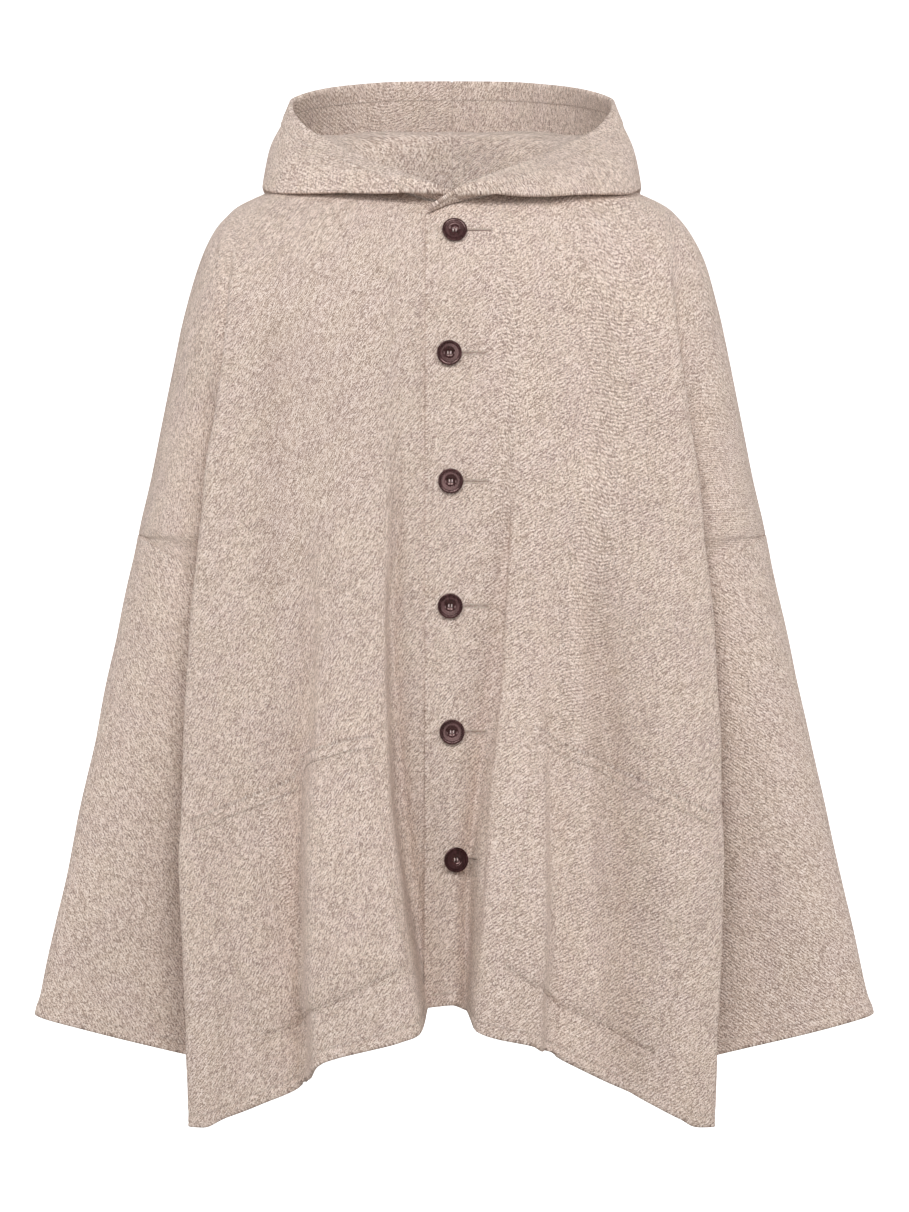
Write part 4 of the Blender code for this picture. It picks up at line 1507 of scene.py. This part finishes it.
@dataclass
class Bodice:
    """The two fronts and the back."""

    tailor: Tailor
    sheets: dict[str, Sheet] = field(default_factory=dict)

    def fronts(self) -> dict[str, np.ndarray]:
        """The coarse nets of the two fronts, the left one lapped over the right one.

        Returns:
            The nets by side.
        """
        right = HalfPanel(FRONT, FRONT_RIGHT_LINES, -1).net()
        left = HalfPanel(FRONT, FRONT_LEFT_LINES, 1).net()
        nets = {}
        for name, own, other, mirror, reach in (
            ("right", right, left, -1, UNDER_REACH),
            ("left", left, right, 1, OVER_REACH),
        ):
            share = reach / abs(other[:, 1:2, 0])
            extra = other[:, :1] + (other[:, 1:2] - other[:, :1]) * share[..., None]
            extra[:, :, 0] = -mirror * reach
            corner = extra[0, 0]
            drop = FRONT.crown(0.0) - corner[2] + LAP_CORNER_DROP
            angle = math.acos(1 - drop / FRONT.fall(0.0))
            corner[1:] = -FRONT.reach(0.0) * math.sin(angle), corner[2] - LAP_CORNER_DROP
            nets[name] = np.concatenate([extra, own], axis=1)
        net = nets["left"]
        normals = grid_normals(net, -1)
        normals[:, 2] = normals[:, 1]
        for column in range(5):
            share = lap_share(net[0, column, 0])
            net[:, column] += normals[:, column] * CLOTH.lap_step * share
        return nets

    def back(self) -> np.ndarray:
        """The coarse net of the back, from the wearer's right to the left.

        Returns:
            The net.
        """
        left = HalfPanel(BACK, BACK_LINES, 1).net()
        right = HalfPanel(BACK, BACK_LINES, -1).net()
        return np.concatenate([right[:, :0:-1], left], axis=1)

    def relieve(self, sheet: Sheet, creases: Sequence[Crease], seed: float) -> None:
        """Lifts a sheet by its creases and its unevenness, which fade out at the seams.

        Args:
            sheet: The sheet.
            creases: Its ridges and troughs.
            seed: Moves the pattern of the unevenness.
        """
        lift = crease_rise(sheet.points[..., (0, 2)] / MM, creases)
        lift += waver(sheet.points, 0.075, 0.0022, seed) + waver(sheet.points, 0.03, 0.0007, seed + 9)
        sheet.moved(lift * border_fade(sheet, "bottom"))

    def build(self) -> None:
        """Builds and dresses the fronts and the back, with their hem stitching."""
        nets = self.fronts() | {"back": self.back()}
        for name, turn, grid, creases, seed in (
            ("right", 1, CLOTH.grid, FRONT_RIGHT_CREASES, 3.0),
            ("left", -1, CLOTH.grid, FRONT_LEFT_CREASES, 11.0),
            ("back", 1, CLOTH.back_grid, BACK_CREASES, 21.0),
        ):
            sheet = Sheet(nets[name], turn).refined(grid, 2)
            self.relieve(sheet, creases, seed)
            start = sheet.points.shape[1] // 2 if name == "back" else 0
            self.sheets[name] = sheet.measured(start)
        for name, sheet in self.sheets.items():
            node = name if name == "back" else "front_" + name
            edges = Borders(left=Edge.SEAM if name == "back" else Edge.RAW)
            made, sewn = self.tailor.panel(node, sheet, edges, "hem_stitches", hem_path(sheet))


@dataclass
class Sleeve:
    """A wide straight sleeve from the dropped armhole to the cuff, in metres."""

    tailor: Tailor
    mirror: int
    cuff: tuple[float, float, float] = (0.2755, 0.0, -0.7665)
    cuff_reach_x: float = 0.0885
    cuff_reach_z: float = 0.0215
    cuff_depth: float = 0.044
    rings: int = 74
    sides: int = 84

    def sheet(self) -> Sheet:
        """The tube, each ring an oval that grows wider and flatter, with its soft folds.

        Returns:
            The sheet, closed round the arm.
        """
        start = np.array([ARMHOLE.x, 0.0, ARMHOLE.z])
        along = fine_places(np.array([0.0, 1.0]), 1 / self.rings)
        angles = np.linspace(0.0, 2 * math.pi, self.sides, endpoint=False)
        share = along[:, None]
        wider = 0.0015 * (1 + self.mirror) / 2
        reach_x = ARMHOLE.reach_x + (self.cuff_reach_x + wider - ARMHOLE.reach_x) * share
        reach_z = ARMHOLE.reach_z + (self.cuff_reach_z - ARMHOLE.reach_z) * share
        depth = ARMHOLE.depth + (self.cuff_depth - ARMHOLE.depth) * smooth_step(0.0, 1.0, share)
        centre = start + (np.array(self.cuff) + (wider, 0.0, 0.0) - start) * share
        inner = smooth_step(0.2, 1.0, -np.cos(angles)) * (np.sin(angles) > 0)
        squareness = 1.0 - (0.35 + 0.25 * inner) * smooth_step(0.1, 0.8, share)
        rounded = np.sign(np.sin(angles)) * np.abs(np.sin(angles)) ** squareness
        points = np.stack(
            [
                centre[:, :1] + reach_x * np.cos(angles),
                -depth * rounded,
                centre[:, 2:] + reach_z * np.cos(angles),
            ],
            axis=2,
        )
        points *= (self.mirror, 1, 1)
        made = Sheet(points, -self.mirror, closed=True).measured()
        waves = 0.0022 * np.sin(3 * angles + 0.8 + 2.0 * share) * smooth_step(0.15, 0.8, share)
        ripple = np.sin(5 * angles - 1.1 - 1.5 * share + self.mirror)
        waves = waves + 0.0014 * ripple * smooth_step(0.1, 0.7, share)
        fade = smooth_step(0.0, 0.06, share)
        made.moved((waves + waver(points, 0.06, 0.0016, 31.0 + self.mirror)) * fade)
        return made.measured()

    def build(self) -> None:
        """Builds and dresses the sleeve and its hem stitching."""
        node = "sleeve_left" if self.mirror > 0 else "sleeve_right"
        sheet = self.sheet()
        made, sewn = self.tailor.panel(node, sheet, Borders(), "hem_stitches", hem_path(sheet))


class Station(NamedTuple):
    """A line across the hood from the neck seam to the rim, in millimetres.

    angle is that of its foot on the neck opening, from the centre front round to the back.
    """

    angle: float
    rise: tuple[float, float, float]
    roll: tuple[float, float, float]
    drop: tuple[float, float, float]
    fold: tuple[float, float, float]
    heel: tuple[float, float, float]
    face: tuple[float, float, float]
    rim: tuple[float, float, float]


HOOD_STATIONS = (
    Station(
        0, (0, -79, -38), (1, -81, -37), (1, -82, -36), (1, -83, -35),
        (2, -84, -34), (2, -85, -33), (2, -86, -32),
    ),
    Station(
        18, (27, -76, -32), (28, -80, -29), (28, -84, -30), (29, -87, -33),
        (29, -89, -33), (29, -88, -27), (27, -82, -21),
    ),
    Station(
        38, (53, -63, -21), (56, -71, -18), (59, -77, -24), (60, -81, -34),
        (62, -84, -34), (63, -80, -22), (58, -66, -9),
    ),
    Station(
        60, (78, -40, -2), (87, -50, -1), (96, -59, -14), (103, -66, -31),
        (107, -69, -31), (106, -61, -12), (92, -38, 8),
    ),
    Station(
        78, (94, -17, 12), (111, -22, 11), (133, -28, -4), (151, -33, -27),
        (156, -35, -27), (151, -24, 2), (131, -4, 33),
    ),
    Station(
        90, (98, 2, 17), (120, 3, 19), (145, 4, 5), (161, 4, -19),
        (166, 6, -19), (159, 15, 16), (142, 28, 51),
    ),
    Station(
        104, (97, 18, 18), (119, 24, 27), (143, 34, 13), (160, 42, -23),
        (165, 47, -22), (159, 55, 18), (143, 66, 62),
    ),
    Station(
        122, (84, 38, 20), (101, 52, 30), (121, 72, 10), (140, 92, -48),
        (148, 99, -45), (145, 108, 12), (122, 111, 76),
    ),
    Station(
        142, (60, 51, 26), (71, 67, 34), (83, 98, 2), (95, 128, -85),
        (103, 140, -80), (105, 149, 4), (86, 154, 86),
    ),
    Station(
        162, (29, 55, 30), (36, 71, 35), (42, 106, -2), (46, 146, -112),
        (52, 160, -106), (54, 171, -4), (44, 175, 91),
    ),
    Station(
        180, (0, 56, 31), (0, 72, 35), (0, 108, -4), (0, 152, -122),
        (0, 164, -116), (0, 176, -7), (0, 181, 92),
    ),
)
HOOD_LAP_END = (
    (0.5, -1.5, 3.2), (1, -2, 4), (1.5, -2.5, 4.5), (2, -3, 5),
    (2.5, -3.5, 5.7), (3, -4, 6.3), (4, -4.5, 7.5),
)
HOOD_LAP_LIFT = (0.0, -0.0051, 0.0012)


@dataclass
class Hood:
    """The hood in two halves, worn down and open round the neck."""

    tailor: Tailor
    bodice: Bodice
    rim_stitch: float = 0.016
    right_lift: float = 0.003
    rise: tuple[tuple[float, float], ...] = (
        (0.0, 0.0030), (60.0, 0.0026), (100.0, 0.0018), (180.0, 0.0016),
    )

    def neck_edge(self, net: np.ndarray, mirror: int) -> np.ndarray:
        """The neckline of half a panel, from the centre to the neck end of the shoulder seam.

        Args:
            net: The panel's points.
            mirror: 1 for the wearer's left half, -1 for the right one.

        Returns:
            Its points, mirrored to the left.
        """
        edge = net[0] * (mirror, 1, 1)
        edge = edge[edge[:, 0] > -0.004]
        edge = edge[np.argsort(edge[:, 0])]
        return edge[edge[:, 0] <= NECK_HALF_WIDTH + 0.004]

    def sheet(self, mirror: int) -> Sheet:
        """Half the hood, stations by steps from the neck seam to the rim.

        Args:
            mirror: 1 for the wearer's left half, -1 for the right one.

        Returns:
            The sheet.
        """
        sheets = self.bodice.sheets
        front_net = sheets["left" if mirror > 0 else "right"].points
        edges = (self.neck_edge(front_net, mirror), self.neck_edge(sheets["back"].points, mirror))
        angles = np.array([float(station.angle) for station in HOOD_STATIONS])
        table = np.array([np.ravel(station[1:]) for station in HOOD_STATIONS]) * MM
        at = np.linspace(0.0, 180.0, 25)
        points = curve_at(angles, table, at).reshape(len(at), -1, 3)
        columns = []
        for angle, column in zip(at, points):
            x = NECK_HALF_WIDTH * math.sin(math.radians(angle))
            edge = edges[0] if angle < 90.01 else edges[1]
            foot = np.array([x, *(np.interp(x, edge[:, 0], edge[:, axis]) for axis in (1, 2))])
            if mirror > 0 and angle < 90:
                column = column + np.array(HOOD_LAP_LIFT) * lap_share(x)
            elif angle < 90:
                column[2:6, 2] += self.right_lift * (1 - smooth_step(40.0, 75.0, angle))
            columns.append(self.column(angle, foot, column))
        if mirror > 0:
            corner = front_net[0, 0]
            columns.insert(0, self.column(0.0, corner, corner + np.array(HOOD_LAP_END) * MM))
        net = np.array(columns) * (mirror, 1, 1) if mirror < 0 else np.array(columns)
        net = np.moveaxis(net, 0, 1)[::-1]
        return Sheet(net, mirror).refined(0.0032, 1)

    def column(self, angle: float, foot: np.ndarray, points: np.ndarray) -> np.ndarray:
        """A station's points, from just above its foot on the neckline.

        Args:
            angle: The station's angle, from the centre front round to the back.
            foot: Its foot.
            points: Its own points.

        Returns:
            The points, with the one above the foot first.
        """
        toward = points[0] - foot
        rise = float(between(self.rise, angle)[0])
        return np.vstack([[foot + toward / np.linalg.norm(toward) * rise], points])

    def build(self) -> None:
        """Builds and dresses the two halves and the stitching along the rim."""
        for mirror in (1, -1):
            node = "hood_left" if mirror > 0 else "hood_right"
            sheet = self.sheet(mirror)
            sheet.moved(waver(sheet.points, 0.06, 0.002, 41.0 + mirror) * border_fade(sheet))
            sheet.measured()
            borders = Borders(Edge.HEM, Edge.SEAM, Edge.RAW, Edge.SEAM, self.rim_stitch)
            lift = CLOTH.wall / 2 + 0.0002
            paths = [border_path(sheet, "top", self.rim_stitch, way * lift) for way in (1, -1)]
            made, sewn = self.tailor.panel(node, sheet, borders, "rim_stitches", paths)


@dataclass
class PatchPocket:
    """A patch pocket sewn on a front.

    mouth and foot are its top and bottom edges seen from the front, in millimetres, from the
    inner corner to the outer one.
    """

    tailor: Tailor
    side: str
    mouth: tuple[tuple[float, float], ...]
    foot: tuple[tuple[float, float], ...]
    wall: float = 0.002
    mouth_stitch: float = 0.010
    edge_stitch: float = 0.0025
    steps: int = 40

    def sheet(self, front: Sheet) -> Sheet:
        """The patch, laid on the front with a slight fullness.

        Args:
            front: The front that it is sewn on.

        Returns:
            The sheet.
        """
        among = slice(4, int(front.points.shape[1] * 0.72))
        edges = []
        for path in (self.mouth, self.foot):
            path = np.array(path, float) * MM
            run = run_along(path)
            t = np.linspace(0.0, run[-1], self.steps)
            line = zip(np.interp(t, run, path[:, 0]), np.interp(t, run, path[:, 1]))
            edges.append(np.array([front.located(x, z, among) for x, z in line]))
        down = fine_places(np.array([0.0, 1.0]), 1 / self.steps)[:, None, None]
        places = edges[0] * (1 - down) + edges[1] * down
        points, normals = front.at(places[..., 0], places[..., 1])
        made = Sheet(points, front.turn).measured()
        far = border_distances(made)
        beside = np.minimum(far["left"], far["right"])
        sewn = smooth_step(0.0, 0.006, np.minimum(beside, far["bottom"]))
        full = 0.0014 * smooth_step(0.0, 0.03, beside) * smooth_step(0.0, 0.03, far["bottom"])
        seat = (CLOTH.wall + self.wall) / 2 + 0.0002
        made.points = points + normals * (seat - 0.0017 * (1 - sewn) + full)[..., None]
        return made.measured()

    def build(self, front: Sheet) -> None:
        """Builds and dresses the pocket and the stitching below its mouth.

        Args:
            front: The front that it is on.
        """
        sheet = self.sheet(front)
        raw = Edge.RAW
        # The mouth is a hem with a painted shadow line along it.
        borders = Borders(Edge.HEM, raw, raw, raw, self.mouth_stitch, mouth=True)
        lift = self.wall / 2 + 0.0001
        paths = [border_path(sheet, "top", self.mouth_stitch, lift)]
        for border in ("left", "right", "bottom"):
            paths.append(border_path(sheet, border, self.edge_stitch, lift))
        node = "pocket_" + self.side
        made, sewn = self.tailor.panel(node, sheet, borders, "stitches", paths, self.wall)


POCKETS = {
    "right": (
        (
            (-68, -499), (-93, -503), (-115, -511), (-128, -520),
            (-138, -537), (-168, -549), (-195, -560), (-224, -572),
        ),
        ((-38, -694), (-96, -723), (-120, -734), (-132, -747), (-163, -757)),
    ),
    "left": (
        ((71, -491), (92, -505), (127, -521), (180, -545), (226, -568)),
        ((44, -694), (76, -715), (90, -729), (125, -746), (174, -772)),
    ),
}
BUTTON_PLACES = (
    (0.002, -0.0655), (-0.0025, -0.171), (-0.001, -0.281),
    (-0.0015, -0.388), (0.0, -0.496), (0.0025, -0.605),
)


def tube(path: np.ndarray, radius: float, sides: int = 8) -> Mesh:
    """A closed round cord along a path.

    Args:
        path: Its points.
        radius: Its radius, which tapers at both ends.
        sides: Sides of its section.

    Returns:
        The mesh.
    """
    along = unit(np.gradient(path, axis=0))
    side = unit(np.cross(along, np.array([0.31, -0.17, 0.93])))
    up = np.cross(side, along)
    turns = np.linspace(0.0, 2 * math.pi, sides, endpoint=False)
    ring = side[:, None] * np.cos(turns)[:, None] + up[:, None] * np.sin(turns)[:, None]
    wide = np.full(len(path), radius)
    wide[[0, -1]] *= 0.5
    points = path[:, None] + ring * wide[:, None, None]
    count = len(path) * sides
    faces = []
    for i in range(len(path) - 1):
        for j in range(sides):
            k = (j + 1) % sides
            faces.append((i * sides + j, i * sides + k, (i + 1) * sides + k, (i + 1) * sides + j))
    faces.append(tuple(range(sides - 1, -1, -1)))
    faces.append(tuple(range(count - sides, count)))
    mesh = bpy.data.meshes.new("cord")
    mesh.from_pydata(points.reshape(-1, 3).tolist(), [], faces)
    return mesh


def joined(name: str, meshes: Sequence[Mesh]) -> Object:
    """One object from several meshes, with its faces outwards.

    Args:
        name: Name of the new object.
        meshes: The meshes, which are used up.

    Returns:
        The object.
    """
    made = bmesh.new()
    for mesh in meshes:
        made.from_mesh(mesh)
        bpy.data.meshes.remove(mesh)
    bmesh.ops.recalc_face_normals(made, faces=made.faces)
    mesh = as_mesh(made, name)
    mesh.shade_smooth()
    return linked(name, mesh)


def as_mesh(made: bmesh.types.BMesh, name: str) -> Mesh:
    """Turns a mesh that is being edited into a plain one and frees it.

    Args:
        made: The mesh being edited.
        name: Name of the plain one.

    Returns:
        The plain mesh.
    """
    mesh = bpy.data.meshes.new(name)
    made.to_mesh(mesh)
    made.free()
    return mesh


@dataclass
class Button:
    """A turned four-hole button and its thread, in metres. The profile is in millimetres."""

    tailor: Tailor
    number: int
    sides: int = 64
    hole: float = 0.00085
    hole_reach: float = 0.0017
    profile: tuple[tuple[float, float], ...] = (
        (0.0, 2.3), (2.0, 2.35), (3.6, 2.7), (4.3, 3.2), (4.8, 3.9), (5.2, 4.0), (6.6, 3.9),
        (8.0, 4.0), (8.3, 3.6), (8.5, 3.6), (8.8, 4.2), (9.3, 4.3), (9.6, 3.9), (9.8, 3.9),
        (10.1, 4.3), (10.5, 4.2), (10.8, 3.7), (10.7, 2.9), (9.6, 2.0), (7.5, 1.5), (0.0, 1.5),
    )

    def turned(self) -> Mesh:
        """The button turned about +Z, with the face of the cloth at the origin.

        Returns:
            The mesh.
        """
        made = bmesh.new()
        points = [made.verts.new((x * MM, 0.0, z * MM)) for x, z in self.profile]
        for a, b in zip(points, points[1:]):
            made.edges.new((a, b))
        bmesh.ops.spin(
            made,
            geom=made.verts[:] + made.edges[:],
            cent=(0, 0, 0),
            axis=(0, 0, 1),
            angle=2 * math.pi,
            steps=self.sides,
            use_duplicate=False,
        )
        bmesh.ops.remove_doubles(made, verts=made.verts, dist=1e-6)
        bmesh.ops.recalc_face_normals(made, faces=made.faces)
        return as_mesh(made, "turned")

    def drilled(self, name: str) -> Object:
        """The button with its four holes cut out.

        Args:
            name: Name of the new object.

        Returns:
            The button.
        """
        blank = linked("blank", self.turned())
        cutter = bmesh.new()
        for x, y in ((-1, -1), (1, -1), (1, 1), (-1, 1)):
            made = bmesh.ops.create_cone(
                cutter,
                cap_ends=True,
                segments=16,
                radius1=self.hole,
                radius2=self.hole,
                depth=0.006,
            )["verts"]
            place = Vector((x, y, 0)) * self.hole_reach * 0.74 + Vector((0, 0, 0.004))
            bmesh.ops.translate(cutter, verts=made, vec=place)
        drill = linked("holes", as_mesh(cutter, "holes"))
        cut = blank.modifiers.new("holes", "BOOLEAN")
        cut.operation = "DIFFERENCE"
        cut.object = drill
        made = baked(name, blank)
        bpy.data.objects.remove(drill)
        made.data.set_sharp_from_angle(angle=math.radians(50))
        return made

    def strands(self, name: str) -> Object:
        """Two pairs of thread strands that pass over the button from hole to hole.

        Args:
            name: Name of the new object.

        Returns:
            The thread.
        """
        reach = self.hole_reach * 0.74
        cords = []
        for x in (-reach - 0.00022, -reach + 0.00022, reach - 0.00022, reach + 0.00022):
            turns = np.linspace(-1.0, 1.0, 9)
            height = 0.0019 + 0.0010 * np.cos(turns * math.pi / 2) ** 0.5
            path = np.stack([np.full(9, x), turns * reach * 1.1, height], axis=1)
            cords.append(tube(path, 0.00028))
        return joined(name, cords)

    def build(self, front: Sheet) -> None:
        """Builds and dresses the button and its thread, square to the cloth.

        Args:
            front: The front that it is on.
        """
        x, z = BUTTON_PLACES[self.number - 1]
        row, column = front.located(x, z, slice(0, 24))
        point, normal = front.at(np.array([row]), np.array([column]))
        turn = Vector(normal[0]).to_track_quat("Z", "Y").to_matrix().to_4x4()
        turn.translation = Vector(point[0] + normal[0] * (CLOTH.wall / 2 - 0.0006))
        made = self.drilled(f"coat_button_{self.number}")
        thread = self.strands(f"button_{self.number}_thread")
        for part in (made, thread):
            part.data.transform(turn)
        self.tailor.dress(made, self.tailor.finishes.horn, "button", f"button_{self.number}")
        self.tailor.dress(thread, self.tailor.finishes.button_thread, "wool")


@dataclass
class Buttonhole:
    """A worked buttonhole on the left front, from under its button towards the side, in metres."""

    tailor: Tailor
    number: int
    start: float = 0.006
    length: float = 0.027
    lip: float = 0.0013

    def build(self, front: Sheet) -> None:
        """Builds and dresses the slit, a thin dark cord that draws the shadow inside it as painted shadow,
        and the satin stitches round it.

        Args:
            front: The front that it is on.
        """
        x, z = BUTTON_PLACES[self.number - 1]
        at = np.linspace(x + self.start, x + self.start + self.length, 40)
        spots = np.array([front.located(place, z, slice(0, 40)) for place in at])
        points, normals = front.at(spots[:, 0], spots[:, 1])
        within = run_along(points) <= self.length
        points, normals = points[within], normals[within]
        name = f"buttonhole_{self.number}"
        # The dark cord along the slit is painted shadow, standing in for the shade inside the slit.
        slit = joined(name + "_slit", [tube(points + normals * (CLOTH.wall / 2 - 0.0002), 0.0004)])
        self.tailor.dress(slit, self.tailor.finishes.shade, "wool")
        paths = []
        for side in (-1, 1):
            away = np.array([0.0, 0.0, side * self.lip])
            paths.append((points + away + normals * (CLOTH.wall / 2 - 0.0001), normals))
        satin = StitchRun(length=0.0009, gap=0.0, width=0.0021, height=0.0006)
        made = satin.sew(name + "_stitches", paths, self.tailor.tree)
        self.tailor.dress(made, self.tailor.finishes.thread, "wool")


class Lamp(NamedTuple):
    """A soft square light aimed at the coat: where it stands, its side, and its power in watts."""

    name: str
    place: tuple[float, float, float]
    size: float
    power: float


STUDIO_LIGHTS = (
    Lamp("key", (1.0, -3.3, 1.7), 1.3, 55.0),
    Lamp("fill", (-0.8, -3.3, 1.7), 1.3, 57.0),
    Lamp("front", (0.0, -4.6, 0.3), 1.0, 12.0),
    Lamp("side_left", (-3.2, -0.7, 0.3), 1.6, 36.0),
    Lamp("side_right", (3.2, -0.7, 0.3), 1.6, 36.0),
)


@dataclass
class Studio:
    """A pale backdrop that curves into a floor, soft lights and the camera."""

    wall_y: float = 7.6
    wall_top: float = 7.0
    floor_z: float = -2.3
    floor_front: float = -7.0
    half_width: float = 9.0
    curve: float = 0.9
    curve_steps: int = 12
    distance: float = 4.2
    view_height: float = 1.0666
    centre_z: float = -0.388
    film: float = 36.0

    def paper(self, name: str, colour: str, glow: float) -> Material:
        """Matt paper: an even pale tone with no shine.

        Args:
            name: Name of the material.
            colour: Its colour.
            glow: How strongly it is lit from behind.

        Returns:
            The material.
        """
        matt = {
            "Base Color": linear(colour),
            "Roughness": 1.0,
            "Specular IOR Level": 0.0,
            "Emission Color": linear("#FFFFFF"),
            "Emission Strength": glow,
        }
        return new_finish(name, matt)[0]

    def swept(self, name: str, path: Sequence[tuple[float, float]], paper: Material) -> None:
        """Adds a wide band along a path as part of the studio.

        Args:
            name: Name of the band.
            path: Its depths and heights.
            paper: Its material.
        """
        made = bmesh.new()
        for x in (-self.half_width, self.half_width):
            for y, z in path:
                made.verts.new((x, y, z))
        made.verts.ensure_lookup_table()
        count = len(path)
        for i in range(count - 1):
            made.faces.new([made.verts[c] for c in (i, i + 1, count + i + 1, count + i)])
        mesh = as_mesh(made, name)
        mesh.shade_smooth()
        mesh.materials.append(paper)
        linked(name, mesh)

    def backdrop(self) -> None:
        """Builds the floor and the wall that curves up from it."""
        foot = self.wall_y - self.curve
        floor = [(self.floor_front, self.floor_z), (foot, self.floor_z)]
        self.swept("floor", floor, self.paper("floor_paper", "#BFBBB7", 0.0))
        path = []
        for step in range(self.curve_steps + 1):
            turn = math.pi / 2 * step / self.curve_steps
            height = self.floor_z + self.curve * (1 - math.cos(turn))
            path.append((foot + self.curve * math.sin(turn), height))
        path.append((self.wall_y, self.wall_top))
        self.swept("backdrop", path, self.paper("backdrop_paper", "#FBFBFB", 1.0))

    def light(self, lamp: Lamp) -> None:
        """Adds a light.

        Args:
            lamp: The light.
        """
        made = bpy.data.lights.new(lamp.name, "AREA")
        made.shape = "SQUARE"
        made.size = lamp.size
        made.energy = lamp.power
        holder = linked(lamp.name, made)
        holder.location = lamp.place
        aim = Vector((0.0, 0.0, self.centre_z)) - Vector(lamp.place)
        holder.rotation_mode = "QUATERNION"
        holder.rotation_quaternion = aim.to_track_quat("-Z", "Y")

    def build(self) -> None:
        """Builds the whole studio."""
        self.backdrop()
        for lamp in STUDIO_LIGHTS:
            self.light(lamp)
        world = bpy.data.worlds.new("studio_air")
        bpy.context.scene.world = world
        world.use_nodes = True
        sky = world.node_tree.nodes["Background"]
        sky.inputs[0].default_value = (1.0, 1.0, 1.0, 1.0)
        sky.inputs[1].default_value = 0.25
        camera = bpy.data.cameras.new("camera")
        camera.sensor_width = self.film
        camera.lens = self.film * self.distance / self.view_height
        camera.shift_x = 2.5 / 1212
        camera.clip_start, camera.clip_end = 0.05, 60.0
        eye = linked("camera", camera)
        eye.location = (0.0, -self.distance, self.centre_z)
        eye.rotation_euler = (math.pi / 2, 0.0, 0.0)
        bpy.context.scene.camera = eye
        bpy.context.scene.view_settings.view_transform = "Standard"


def main() -> None:
    """Builds the coat piece by piece, then the studio."""
    logging.basicConfig(level=logging.INFO, format="%(name)s: %(message)s")
    finishes = Finishes()
    run = StitchRun()
    tailor = Tailor(finishes, run, run.tree(finishes.thread))
    bodice = Bodice(tailor)
    bodice.build()
    for mirror in (1, -1):
        Sleeve(tailor, mirror).build()
    Hood(tailor, bodice).build()
    for side, (mouth, foot) in POCKETS.items():
        PatchPocket(tailor, side, mouth, foot).build(bodice.sheets[side])
    for number in range(1, len(BUTTON_PLACES) + 1):
        Button(tailor, number).build(bodice.sheets["left"])
        Buttonhole(tailor, number).build(bodice.sheets["left"])
    Studio().build()


if __name__ == "__main__":
    main()
